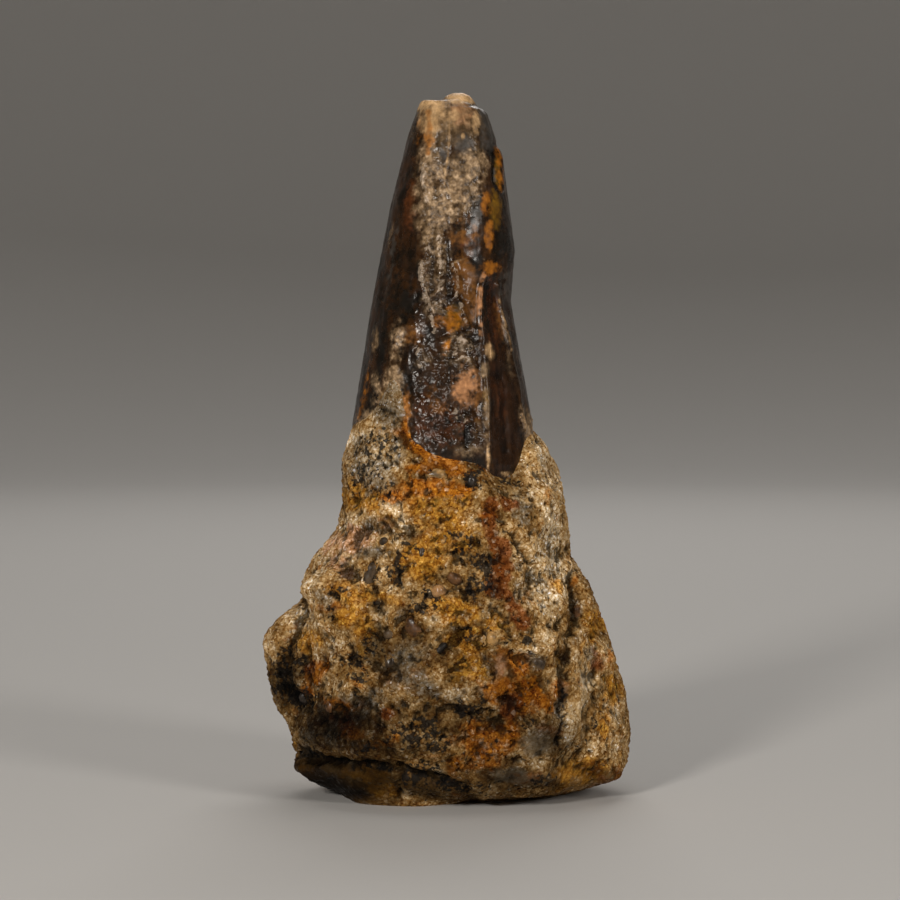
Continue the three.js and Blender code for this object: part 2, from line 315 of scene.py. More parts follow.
        (520, 700, 30, 26, 0, 0.4), (273, 680, 10, 30, 0, 0.2), (552, 738, 28, 28, 0, 0.75),
        (470, 715, 120, 50, 0, 0.52), (500, 770, 100, 24, 0, 0.55), (400, 650, 90, 34, 0, 0.36),
        (475, 660, 50, 40, 0, 0.4),
    ],
}
# Stains drawn as lines: the path by pixel, half width in pixels, strength
STONE_LINES = {
    "rust": [
        ([(492, 505), (488, 530), (500, 552), (496, 585), (508, 602), (523, 622)], 8, 0.85),
        ([(500, 560), (503, 580), (500, 596)], 7, 0.95),
    ],
    "black": [
        ([(401, 543), (412, 545), (420, 550)], 2.5, 1),
        ([(456, 545), (463, 556), (478, 556), (488, 572), (486, 586)], 4.5, 0.85),
        ([(472, 580), (473, 594)], 4.5, 0.85), ([(400, 553), (394, 566), (396, 582)], 5, 0.85),
    ],
    "cream": [
        # Along the edge of the left shoulder, partly a painted highlight
        ([(346, 520), (330, 545), (316, 575), (308, 602)], 6, 0.8),
        ([(388, 506), (405, 513), (404, 526)], 7, 0.95),
        ([(345, 442), (365, 435), (395, 441)], 8, 0.9),  # the rim left of the crown
    ],
}
# The unseen sides: how many stains of each kind, and their mean half size in millimetres
STONE_BACK_STAINS = {
    "cream": (40, 2.6), "ochre": (34, 2.6), "orange": (30, 2.2), "rust": (20, 1.5), "pink": (14, 2),
    "grey": (28, 2.2), "brown": (16, 2.2), "black": (60, 1.2), "smooth": (8, 3), "dirt_and_painted_shade": (14, 4),
}
# Furrows and ridges on the face of the stone: the path by pixel, half width in pixels, height in millimetres
STONE_STROKES = [
    ([(574, 570), (578, 600), (574, 640), (565, 690), (561, 742)], 5, -0.65),  # beside the slab
    ([(296, 628), (284, 655), (290, 690), (306, 708)], 8, -1.3),  # behind the left knob
    ([(300, 752), (340, 762), (400, 772), (468, 786)], 5, -1.1),  # above the ledge
    ([(400, 770), (400, 800)], 4, -0.7),  # where the ledge ends
    ([(520, 659), (544, 660)], 5, -0.35),  # under the small step
    ([(516, 650), (546, 651)], 4, 0.35),
    ([(545, 455), (556, 470)], 9, 0.7),  # the knob right of the crown
    ([(330, 560), (372, 590), (380, 640)], 9, -0.5), ([(372, 570), (376, 588)], 9, -0.4),
    ([(405, 612), (414, 632)], 10, -0.4), ([(452, 708), (472, 716), (500, 722)], 8, -0.5),
    ([(460, 634), (440, 652)], 6, -0.5), ([(520, 540), (530, 580), (540, 620)], 8, -0.35),
    ([(455, 600), (500, 640), (520, 640)], 9, 0.4), ([(505, 700), (520, 712)], 9, -0.5),
]

# Stains on the face of the tooth, in the same terms
TOOTH_STAINS = {
    "crust": [
        (456, 184, 24, 22, 0, 0.72),  # the film below the broken end
        (475, 164, 15, 14, 0, 0.78), (428, 160, 9, 26, 6, 0.75), (428, 195, 12, 22, 4, 0.7),
        (440, 212, 22, 18, 0, 0.68), (434, 232, 16, 16, 0, 0.5),
        (460, 115, 12, 14, 0, 0.45),  # the broken end
        (442, 125, 10, 14, 0, 0.45), (438, 252, 12, 16, 0, 0.5), (432, 298, 10, 18, 0, 0.2),
        (398, 335, 8, 14, 0, 0.55),  # the sandy border at the left
        (396, 352, 7, 18, 0, 0.5), (393, 384, 9, 20, 0, 0.85), (392, 412, 15, 20, 0, 1),
        (374, 425, 16, 14, 0, 0.85), (374, 340, 4, 12, 0, 0.5), (374, 380, 5, 10, 0, 0.45),
        (378, 400, 8, 14, 0, 0.5), (527, 425, 6, 18, -12, 0.8),
        (507, 345, 3, 24, -10, 0.4),  # the right edge of the blade
        (514, 372, 8, 34, -10, 0.15), (485, 370, 5, 8, 0, 0.6), (486, 410, 4, 34, 0, 0.45),
        (470, 452, 14, 6, 0, 0.4), (478, 430, 6, 10, 0, 0.4), (388, 236, 3, 14, 10, 0.3),
    ],
    "cream": [
        (433, 106, 16, 11, 0, 1.05),
        (461, 98, 17, 7, 0, 1.1),  # the crumb on the broken end
        (430, 120, 10, 16, 4, 0.85), (440, 112, 10, 12, 0, 0.7), (476, 121, 4, 14, 0, 0.65),
        (452, 116, 7, 12, 0, 0.6),
        (449, 140, 2, 32, 2, 0.35),  # along the crack
        (445, 172, 2, 12, 6, 0.3), (463, 136, 2, 3, 0, 0.6), (490, 351, 4, 8, -15, 0.9),
        (488, 456, 2, 14, 0, 0.75),  # the lower left edge of the blade
        (506, 474, 5, 3, 0, 0.6),
    ],
    "orange": [
        (429, 136, 6, 10, 0, 0.7), (486, 205, 5, 10, 0, 0.9), (500, 168, 4, 24, -8, 0.6),
        (489, 234, 4, 14, 0, 0.9), (489, 268, 11, 6, 0, 0.95),
        (452, 320, 9, 11, 0, 0.95),  # the nodule
        (440, 322, 7, 6, 0, 0.6), (446, 345, 5, 10, 0, 0.6), (406, 415, 4, 22, 0, 0.85),
        (418, 132, 4, 16, 10, 0.4), (362, 395, 3, 30, 10, 0.45),
    ],
    "slate": [
        (463, 147, 11, 15, 0, 0.85), (444, 152, 5, 14, 3, 0.7), (485, 130, 7, 22, -4, 0.9),
        (478, 207, 7, 12, 0, 0.74), (508, 290, 8, 22, 0, 0.7), (516, 350, 6, 36, -10, 0.25),
        (390, 255, 4, 46, 10, 0.4), (460, 416, 8, 12, 0, 0.45), (440, 290, 8, 14, 0, 0.35),
    ],
    "amber": [
        (463, 276, 12, 20, 0, 0.95), (472, 308, 9, 18, 0, 0.9), (465, 235, 14, 20, 0, 0.6),
        (431, 391, 7, 6, 0, 0.45), (478, 392, 5, 30, 0, 0.55), (498, 318, 4, 26, -10, 0.6),
        (410, 335, 12, 12, 0, 0.5), (440, 408, 14, 10, 0, 0.4),
    ],
    "blush": [
        (466, 387, 12, 18, 0, 0.78), (481, 298, 3, 24, 2, 0.85), (475, 312, 5, 12, 0, 0.55),
        (461, 114, 11, 14, 0, 0.75),
    ],
    "black": [
        (410, 304, 16, 20, 0, 0.85), (500, 242, 10, 18, 0, 0.9), (495, 165, 3, 18, -5, 0.85),
        (390, 300, 12, 50, 8, 0.6), (370, 398, 6, 18, 8, 0.75), (382, 360, 7, 24, 5, 0.6),
        (440, 425, 22, 20, 0, 0.45), (424, 400, 10, 20, 0, 0.4), (434, 392, 12, 14, 0, 0.4),
        (467, 436, 3, 12, 0, 0.8), (482, 464, 7, 7, 0, 0.9), (415, 360, 12, 12, 0, 0.4),
        (414, 145, 6, 14, 10, 0.5), (408, 178, 6, 10, 6, 0.5), (475, 212, 9, 16, 0, 0.8),
    ],
    "gold": [
        (496, 206, 6, 18, 0, 1), (498, 176, 4, 20, -6, 0.6), (452, 318, 10, 12, 0, 0.8),
        (430, 240, 6, 12, 0, 0.3), (486, 400, 4, 20, 0, 0.4), (385, 400, 6, 14, 0, 0.4),
    ],
    "haze": [
        (450, 186, 28, 38, 0, 0.78), (426, 190, 12, 44, 4, 0.8), (450, 128, 34, 34, 0, 0.7),
        (434, 264, 14, 42, 0, 0.75), (436, 298, 15, 24, 0, 0.5), (461, 350, 17, 20, 0, 0.7),
        (462, 420, 10, 12, 0, 0.25), (420, 356, 12, 16, 0, 0.35), (470, 450, 20, 8, 0, 0.3),
        (440, 105, 30, 12, 0, 0.6),
    ],
    # Painted glints: pale specks on glossy places, which are also smoother and beaded
    "gloss_and_painted_glint": [
        (440, 300, 30, 40, 0, 0.2), (461, 350, 15, 18, 0, 0.65), (418, 372, 10, 26, 0, 0.25),
    ],
    "russet": [
        (409, 212, 7, 26, 4, 0.75), (492, 312, 7, 36, -5, 0.9), (432, 396, 14, 16, 0, 0.5),
        (442, 424, 24, 18, 0, 0.9), (468, 246, 12, 14, 0, 0.6), (424, 416, 12, 24, 0, 0.75),
        (500, 395, 10, 36, -6, 0.4),
    ],
    "sheer": [
        (450, 118, 44, 34, 0, 0.8),  # the polished end
        (490, 215, 12, 40, 0, 0.15), (466, 285, 16, 36, 0, 0.6), (500, 400, 16, 80, -6, 0.8),
    ],
    "pitted": [
        (428, 190, 10, 24, 4, 0.8), (434, 260, 14, 46, 0, 0.9), (442, 300, 24, 34, 0, 0.8),
        (436, 385, 28, 56, 0, 0.75), (461, 352, 20, 24, 0, 1.1), (463, 390, 18, 24, 0, 0.35),
        (452, 430, 34, 26, 0, 0.95),
    ],
    "blade": [
        (491, 300, 6, 26, -6, 1), (497, 350, 10, 36, -8, 1), (505, 405, 15, 36, -6, 1.1),
        (505, 448, 16, 36, -2, 1.2),
    ],
}
TOOTH_LINES = {
    "gloss_and_painted_glint": [
        ([(421, 262), (420, 280), (426, 298), (431, 315), (434, 332)], 2.8, 1),  # glossy ridges, with painted glints
        ([(439, 234), (440, 262), (441, 288)], 3.6, 1), ([(453, 266), (458, 282), (456, 298)], 3, 0.9),
        ([(461, 304), (464, 315), (467, 326)], 2.4, 0.9), ([(424, 164), (424, 182), (427, 200)], 3.6, 0.8),
        ([(436, 303), (445, 308)], 4, 0.7), ([(427, 238), (427, 255)], 3.6, 0.6),
        ([(456, 345), (462, 340), (470, 345), (468, 358)], 4.5, 0.8), ([(456, 412), (464, 422)], 5, 0.6),
        ([(418, 350), (420, 366)], 4, 0.5),
    ],
    "blush": [([(485, 270), (479, 288), (479, 310), (481, 334)], 2.8, 0.5)],
    "black": [
        ([(487, 278), (486, 300), (488, 332)], 1.8, 0.8), ([(449, 240), (450, 262), (449, 298)], 2.6, 0.6),
        ([(418, 262), (417, 285), (423, 305)], 2.4, 0.6),
    ],
    "slate": [([(505, 264), (509, 300), (516, 335)], 5, 0.45)],
    "cream": [
        ([(450, 106), (449, 150), (444, 184)], 1.3, 0.45),  # the vein
        ([(500, 300), (505, 322), (512, 350)], 1.8, 0.35),
        ([(455, 262), (468, 257), (484, 260)], 1.6, 0.25),  # the edge of the amber patch
    ],
    "orange": [
        ([(490, 222), (489, 246)], 3, 0.95), ([(486, 196), (489, 210)], 4.5, 1),
        ([(428, 112), (430, 132), (428, 152)], 3.2, 0.75),
    ],
}
TOOTH_BACK_STAINS = {
    "crust": (22, 2.2), "cream": (8, 0.9), "orange": (12, 1.1), "slate": (16, 1.8), "amber": (18, 2.2),
    "blush": (6, 1.1), "black": (18, 1.8), "gold": (8, 1.2), "haze": (16, 2.4), "gloss_and_painted_glint": (10, 1.4),
    "russet": (14, 2.4), "sheer": (8, 3), "pitted": (20, 3.2), "blade": (3, 3),
}
# Ridges, steps and chips on the face of the tooth
TOOTH_STROKES = [
    ([(486, 275), (481, 290), (480, 320), (484, 350)], 2.4, 0.35),  # left edge of the blade
    ([(484, 350), (488, 400), (489, 468)], 2.2, 0.3),
    ([(498, 285), (503, 315), (509, 345), (519, 390), (524, 430)], 2.2, 0.28),  # its right edge
    ([(490, 285), (495, 330), (503, 390), (507, 450)], 6, -0.25),
    ([(452, 320), (453, 321)], 8, 0.6),  # the nodule
    ([(450, 105), (449, 150), (444, 182)], 1.6, 0.07),  # the vein down from the broken end
    ([(475, 110), (477, 134)], 2.5, 0.07),
    ([(494, 152), (496, 182)], 2.2, -0.35),  # beside the sliver on the right
    ([(499, 150), (504, 190)], 2.2, 0.25), ([(492, 116), (494, 142)], 4, -0.3),
    ([(421, 262), (420, 280), (426, 298), (431, 315), (434, 332)], 3.2, 0.24),  # glossy ridges
    ([(439, 232), (440, 262), (441, 288)], 3.8, 0.26), ([(453, 266), (458, 282), (456, 298)], 3.2, 0.32),
    ([(461, 304), (464, 315), (467, 326)], 2.8, 0.3), ([(424, 164), (424, 182), (427, 200)], 4, 0.26),
    ([(431, 268), (432, 292)], 3, -0.12), ([(448, 240), (449, 300)], 3.2, -0.14),
    ([(396, 345), (400, 328), (412, 326)], 2.5, 0.25), ([(464, 388), (465, 390)], 12, 0.25),
    ([(467, 426), (467, 446)], 2.5, -0.35), ([(431, 392), (432, 392)], 8, -0.25),
]

# Corners of the outlines in the picture, from the top down: the left side, then the right side
STONE_OUTLINE = (
    [
        (352, 425), (341, 460), (342, 505), (334, 530), (312, 556), (300, 585),  # collar and shoulder
        (299, 600), (284, 612), (266, 630), (262, 642), (267, 675), (274, 706),  # the knob
        (286, 722), (295, 755), (293, 770), (311, 784),  # the ledge
    ],
    [
        (533, 430), (543, 437), (557, 465), (561, 475), (570, 530), (571, 555),  # collar
        (588, 578), (605, 622), (626, 690), (631, 730), (629, 760), (621, 780),  # the slab
    ],
)
TOOTH_OUTLINE = (
    [(419, 102), (408, 134), (390, 206), (372, 300), (352, 425)],
    [(477, 104), (488, 112), (493, 130), (503, 156), (515, 250), (511, 302), (533, 425)],
)
OUTLINE_MARGIN = 12  # rows over which the fitting fades out above and below
OUTLINE_NEAR = 2.5  # rows on either side in which the widest point is looked for
OUTLINE_EVENING = 7  # rows over which the fitting is evened out

# The line along which the stone meets the face of the crown, by pixel
CONTACT_LINE = [
    (340, 438), (355, 431), (366, 419), (376, 404), (382, 398), (386, 382), (392, 373), (398, 378),
    (401, 391), (407, 402),
    (410, 432), (420, 446), (430, 454), (445, 459), (470, 463),
    (486, 466), (491, 477), (510, 479), (519, 466), (524, 442), (530, 428), (545, 430),
]
CONTACT_ROUNDS = 6  # of moving the rim up or down until it lies on that line

# Quartz granules in the face of the stone: column, row, three half sizes in pixels, turn, tint
CLEAR_GRANULES = [
    (436, 475, 7, 5, 5, 0, "honey"), (443, 590, 5, 5, 6, 0, "amber"), (484, 640, 5, 6, 6, 0, "honey"),
    (494, 641, 4, 5, 5, 0, "honey"), (507, 475, 4, 3, 4, 0, "ash"),
]
DARK_GRANULES = [
    (414, 628, 7, 10, 6, -25, "brown"), (371, 574, 5, 8, 5, 15, "smoke"), (455, 577, 5, 4, 4, 25, "brown"),
    (440, 652, 3, 8, 5, 40, "black"), (391, 661, 4, 6, 5, 0, "smoke"), (421, 553, 3, 5, 4, 20, "smoke"),
    (384, 541, 3, 3, 3, 0, "smoke"), (471, 480, 4, 4, 4, 0, "black"), (388, 634, 4, 4, 4, 0, "smoke"),
    (304, 698, 5, 5, 4, -20, "black"), (538, 665, 5, 6, 4, 0, "smoke"), (576, 612, 3, 5, 4, 0, "brown"),
    (330, 706, 4, 5, 4, 0, "brown"),
]
GRANULE_TINTS = {
    "honey": (0.52, 0.31, 0.11),
    "amber": (0.40, 0.22, 0.09),
    "ash": (0.26, 0.19, 0.12),
    "brown": (0.080, 0.036, 0.012),
    "smoke": (0.055, 0.036, 0.020),
    "black": (0.016, 0.012, 0.009),
}
GRANULE_DENTS = {"Dent Height": 0.5, "Dent Span": 1.2}  # in millimetres
GRANULE_LEVEL = 3  # how finely a pebble is divided
DENT_DETAIL = 1.0
GRANULE_SUNK = 0.74  # how much of a granule's half depth is buried
GRANULE_BARE = (0.75, 0.45)  # from sandy to bare, in half sizes of a granule
QUARTZ_CLEARNESS = 0.55
# Loose granules on the unseen sides
CLEAR_LOOSE = 26
DARK_LOOSE = 40
GRANULE_SIZES = (0.5 * MM, 1.0 * MM)
LOOSE_SUNK = 0.9
LOOSE_ROWS = (8, 20)  # rows of the skin that stay free of them above the foot and below the rim
GRANULE_SEED = 8

# Sand: spacing, span of its clumps, smallest and largest half size, depth in smallest half sizes, sides
# and rings of a grain, seed
SAND_TERMS = ("Spacing", "Clump Span", "Smallest", "Largest", "Sunk", "Sides", "Rings", "Seed")
SAND = {
    "coarse": (0.62 * MM, 3.5 * MM, 0.09 * MM, 0.20 * MM, 0.9, 5, 3, 3),
    "fine": (0.30 * MM, 3.5 * MM, 0.05 * MM, 0.12 * MM, 0.6, 4, 2, 5),
}
SAND_FULLNESS = 1.2  # tries for each square of the spacing
CLUMP_COVER = (0.38, 0.58, 0.12, 1.0)  # the noise between two clumps and in one, and the cover there
# Added to the seed, so that tone, turn and size are drawn apart
TONE_DRAW = 11.0
TURN_DRAW = 23.0
SIZE_DRAW = 37.0
MAP_MARGIN = 0.1  # round each grain in its square of the map


def smooth_step(low, high, values):
    share = np.clip((values - low) / (high - low), 0, 1)
    return share * share * (3 - 2 * share)


def faded(shares, least):
    return shares * (1 - least) + least


# Camera, floor and light


def link(name, data):
    thing = bpy.data.objects.new(name, data)
    bpy.context.scene.collection.objects.link(thing)
    return thing


def aim(thing, place, direction):
    thing.location = place
    thing.rotation_euler = direction.to_track_quat("-Z", "Y").to_euler()


def make_camera():
    data = bpy.data.cameras.new("picture_camera")
    data.lens = LENS
    data.sensor_width = SENSOR
    data.clip_start, data.clip_end = CLIPPING
    camera = link("picture_camera", data)
    aim(camera, EYE, FORWARD)
    bpy.context.scene.camera = camera


def pixels_of(points):
    """Column and row at which each point shows in the picture."""
    offset = points - np.array(EYE)
    scale = PICTURE * LENS / SENSOR / (offset @ np.array(FORWARD))
    columns = PICTURE / 2 + offset @ np.array(RIGHT) * scale
    rows = PICTURE / 2 - offset @ np.array(UPWARD) * scale
    return columns, rows


def point_under(surface, column, row):
    """The spot of a surface that shows at a pixel, and its normal."""
    across = (column - PICTURE / 2) / PICTURE * SENSOR / LENS
    upwards = (PICTURE / 2 - row) / PICTURE * SENSOR / LENS
    place, normal, _, _ = surface.ray_cast(EYE, FORWARD + RIGHT * across + UPWARD * upwards)
    return place, normal


def make_floor():
    """A round pale floor that curves up into a wall on every side."""
    curve = [math.radians(turn) for turn in range(0, 91, FLOOR_TURN)]
    profile = [
        (FLOOR_RADIUS + FLOOR_CURVE * math.sin(a), FLOOR_CURVE * (1 - math.cos(a))) for a in curve
    ]
    profile.append((FLOOR_RADIUS + FLOOR_CURVE, FLOOR_WALL))
    angles = [2 * math.pi * side / FLOOR_SIDES for side in range(FLOOR_SIDES)]
    points = [(r * math.cos(a), r * math.sin(a), z) for r, z in profile for a in angles]
    middle = len(points)
    points.append((0, 0, 0))
    faces = []
    for side in range(FLOOR_SIDES):
        beside = (side + 1) % FLOOR_SIDES
        faces.append((middle, side, beside))
        for low in range(0, middle - FLOOR_SIDES, FLOOR_SIDES):
            high = low + FLOOR_SIDES
            faces.append((low + side, high + side, high + beside, low + beside))
    mesh = bpy.data.meshes.new("floor")
    mesh.from_pydata(points, [], faces)
    mesh.shade_smooth()
    material, tree = start_material("floor_paper")
    tree.fill(tree.result, FLOOR_PAPER)
    mesh.materials.append(material)
    link("floor", mesh)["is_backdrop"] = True


def make_lights():
    for name, (place, size, power, colour) in SOFT_BOXES.items():
        data = bpy.data.lights.new(name, "AREA")
        data.size = size
        data.energy = power
        data.color = colour
        aim(link(name, data), place, LIGHT_AIM - Vector(place))
    world = bpy.data.worlds.new("room")
    world.use_nodes = True
    world.node_tree.nodes["Background"].inputs["Color"].default_value = ROOM_LIGHT
    bpy.context.scene.world = world
    bpy.context.scene.view_settings.view_transform = "Standard"


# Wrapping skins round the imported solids


def surface_of(mesh):
    return BVHTree.FromPolygons([v.co for v in mesh.vertices], [p.vertices for p in mesh.polygons])


def angles_of(columns):
    return BACK_ANGLE + 2 * math.pi * np.arange(columns) / columns


def radii_of(surface, angles, heights):
    """Distance from the upright axis to the outside of a solid, one row for each height."""
    radii = np.full((len(heights), len(angles)), np.nan)
    for column, angle in enumerate(angles):
        outward = Vector((math.cos(angle), math.sin(angle), 0))
        start = outward * FAR_OUT
        for row, height in enumerate(heights):
            start.z = height
            distance = surface.ray_cast(start, -outward)[3]
            if distance is not None:
                radii[row, column] = FAR_OUT - distance
    return radii


def blur(values, width):
    """Evens a skin's values out, round its columns and up its rows."""
    reach = math.ceil(BLUR_REACH * width)
    steps = np.arange(-reach, reach + 1)
    weights = np.exp(-0.5 * (steps / width) ** 2)
    weights /= weights.sum()
    rows = np.arange(len(values))
    around = sum(w * np.roll(values, step, axis=1) for step, w in zip(steps, weights))
    return sum(w * around[np.clip(rows + step, 0, rows[-1])] for step, w in zip(steps, weights))


def respaced(radii, heights, rows):
    """Evenly spaced points along one column's profile, as radii and heights."""
    lengths = np.hypot(np.diff(radii), np.diff(heights))
    travelled = np.concatenate([[0], np.cumsum(lengths)])
    stops = np.linspace(0, travelled[-1], rows)
    return np.interp(stops, travelled, radii), np.interp(stops, travelled, heights)


def skin_points(radii, heights, angles):
    return np.stack([radii * np.cos(angles), radii * np.sin(angles), heights], axis=-1)


def normals_of(points):
    around = np.roll(points, -1, axis=1) - np.roll(points, 1, axis=1)
    upwards = np.gradient(points, axis=0)
    normals = np.cross(around, upwards)
    return normals / np.maximum(np.linalg.norm(normals, axis=-1, keepdims=True), TINY)


def facing_of(normals):
    """1 where a skin shows from the front, 0 on its far side."""
    return smooth_step(*FACING_EDGE, -normals[..., 1])


def skin_mesh(name, points, poles, values):
    """A closed mesh over a skin, with a pole at each end and its values as attributes."""
    rows, columns = points.shape[:2]
    place = np.arange(rows * columns).reshape(rows, columns)
    beside = np.roll(place, -1, axis=1)
    walls = np.stack([place[:-1], beside[:-1], beside[1:], place[1:]], axis=-1).reshape(-1, 4)
    low, high = rows * columns, rows * columns + 1
    faces = walls.tolist()
    faces += [(low, int(b), int(a)) for a, b in zip(place[0], beside[0])]
    faces += [(high, int(a), int(b)) for a, b in zip(place[-1], beside[-1])]
    mesh = bpy.data.meshes.new(name)
    mesh.from_pydata([*points.reshape(-1, 3).tolist(), *poles], [], faces)
    mesh.shade_smooth()
    for key, field in values.items():
        flat = np.concatenate([field.reshape(rows * columns, -1), np.zeros((2, field[0, 0].size))])
        kind, slot = ("FLOAT_VECTOR", "vector") if flat.shape[1] == 3 else ("FLOAT", "value")
        attribute = mesh.attributes.new(key, kind, "POINT")
        attribute.data.foreach_set(slot, flat.astype(np.float32).ravel())
    wrap_map(mesh, rows, columns)
    return mesh


def whole_numbers(items, name):
    numbers = np.zeros(len(items), np.int64)
    items.foreach_get(name, numbers)
    return numbers


def corners_of(mesh):
    """The point at each corner of a face, and each face's first corner and number of corners."""
    corners = whole_numbers(mesh.loops, "vertex_index")
    starts = whole_numbers(mesh.polygons, "loop_start")
    return corners, starts, whole_numbers(mesh.polygons, "loop_total")


def wrap_map(mesh, rows, columns):
    """A map that unrolls the skin: once round is its width, bottom to top its height."""
    layer = mesh.uv_layers.new(name="OFBake")
    corners, starts, sizes = corners_of(mesh)
    column = (corners % columns).astype(float)
    row = corners // columns
    face = np.repeat(np.arange(len(starts)), sizes)
    pole = corners >= rows * columns
    column[pole] = np.nan
    widest = np.fmax.reduceat(column, starts)[face]
    column[(column == 0) & (widest == columns - 1)] = columns
    middle = np.fmin.reduceat(column, starts)[face] + 0.5
    column[pole] = middle[pole]
    height = np.where(corners == rows * columns, 0, np.where(pole, rows + 1, row + 1)) / (rows + 1)
    places = np.stack([column / columns, height], axis=-1)
    layer.data.foreach_set("uv", places.astype(np.float32).ravel())


def path_distance(columns, rows, path):
    """How far each pixel lies from a drawn path."""
    away = np.full(columns.shape, np.inf)
    for (x0, y0), (x1, y1) in zip(path, path[1:]):
        along_x, along_y = x1 - x0, y1 - y0
        share = (columns - x0) * along_x + (rows - y0) * along_y
        share = np.clip(share / (along_x**2 + along_y**2), 0, 1)
        gap = np.hypot(columns - x0 - share * along_x, rows - y0 - share * along_y)
        away = np.minimum(away, gap)
    return away


def ellipse_distance(columns, rows, column, row, half_width, half_height, turn):
    """How far each pixel lies from the middle of a leaning ellipse, 1 on its edge."""
    lean = math.radians(turn)
    across = (columns - column) * math.cos(lean) + (rows - row) * math.sin(lean)
    along = (rows - row) * math.cos(lean) - (columns - column) * math.sin(lean)
    return np.hypot(across / half_width, along / half_height)


def move_by_strokes(points, strokes):
    """Furrows and ridges drawn on the front of a skin."""
    normals = normals_of(points)
    facing = facing_of(normals)
    columns, rows = pixels_of(points)
    rise = np.zeros(points.shape[:2])
    for path, half_width, height in strokes:
        away = path_distance(columns, rows, path)
        rise += height * MM * np.exp(-((away / half_width) ** 2))
    return points + normals * (rise * facing)[..., None]


def stains_of(points, face_stains, face_lines, back_stains, heights, dice):
    """How strongly each kind of stain shows at each point: drawn in front, scattered behind."""
    facing = facing_of(normals_of(points))
    columns, rows = pixels_of(points)
    around = np.arctan2(points[..., 1], points[..., 0])
    radius = np.hypot(points[..., 0], points[..., 1])

    def spread(marks):
        field = np.zeros(points.shape[:2])
        for away, strength in marks:
            field = np.maximum(field, strength * smooth_step(*STAIN_FADE, away))
        return field

    def scattered(count, size):
        for _ in range(count):
            angle = dice.uniform(*BACK_TURNS)
            height = dice.uniform(*heights)
            half_width, half_height = size * MM * dice.uniform(*STAIN_SPREAD, 2)
            strength = dice.uniform(*STAIN_STRENGTH)
            turned = (around - angle + math.pi) % (2 * math.pi) - math.pi
            upwards = points[..., 2] - height
            yield np.hypot(turned * radius / half_width, upwards / half_height), strength

    fields = {}
    for kind, marks in face_stains.items():
        drawn = [(ellipse_distance(columns, rows, *place), strength) for *place, strength in marks]
        for path, half_width, strength in face_lines.get(kind, []):
            drawn.append((path_distance(columns, rows, path) / half_width, strength))
        front = spread(drawn)
        behind = spread(scattered(*back_stains[kind]))
        fields[kind] = front * facing + behind * (1 - facing)
    return fields


def hollows_of(points, width):
    """How far each point lies below its surroundings, in metres. High points come out negative."""
    return np.sum((blur(points, width) - points) * normals_of(points), axis=-1)


def positions_of(mesh):
    flat = np.zeros(len(mesh.vertices) * 3, np.float32)
    mesh.vertices.foreach_get("co", flat)
    return flat.reshape(-1, 3).astype(float)


# Node trees


class Wire:
    """An output of a node. Adding or multiplying wires makes a node that does so."""

    def __init__(self, tree, socket):
        self.tree = tree
        self.socket = socket

    def __add__(self, other):
        return self.tree.maths("ADD", self, other)

    def __sub__(self, other):
        return self.tree.maths("SUBTRACT", self, other)

    def __rsub__(self, other):
        return self.tree.maths("SUBTRACT", other, self)

    def __mul__(self, other):
        return self.tree.maths("MULTIPLY", self, other)

    def __rtruediv__(self, other):
        return self.tree.maths("DIVIDE", other, self)

    def __pow__(self, other):
        return self.tree.maths("POWER", self, other)

    def __rpow__(self, other):
        return self.tree.maths("POWER", other, self)

    def swung(self, swing):
        """A value between 0 and 1, turned into a swing to both sides of 0."""
        return (self - 0.5) * swing

    def ranged(self, low, high, to_low=0.0, to_high=1.0):
        """Eased from one range into another."""
        inputs = {"Value": self, 1: low, 2: high, 3: to_low, 4: to_high}
        return self.tree.add("ShaderNodeMapRange", inputs, interpolation_type="SMOOTHSTEP")[0]

    def scaled(self, scale):
        inputs = {0: self, "Scale": scale}
        return self.tree.add("ShaderNodeVectorMath", inputs, operation="SCALE")[0]

    def moved(self, shift):
        return self.tree.add("ShaderNodeVectorMath", {0: self, 1: shift}, operation="ADD")[0]

    def channels(self):
        node = self.tree.add("ShaderNodeSeparateColor", {0: self})
        return [node[0], node[1], node[2]]


class Node:
    """A node of a tree. Its outputs are read as wires, by name or number."""

    def __init__(self, tree, node):
        self.tree = tree
        self.node = node

    def __getitem__(self, key):
        return Wire(self.tree, self.node.outputs[key])


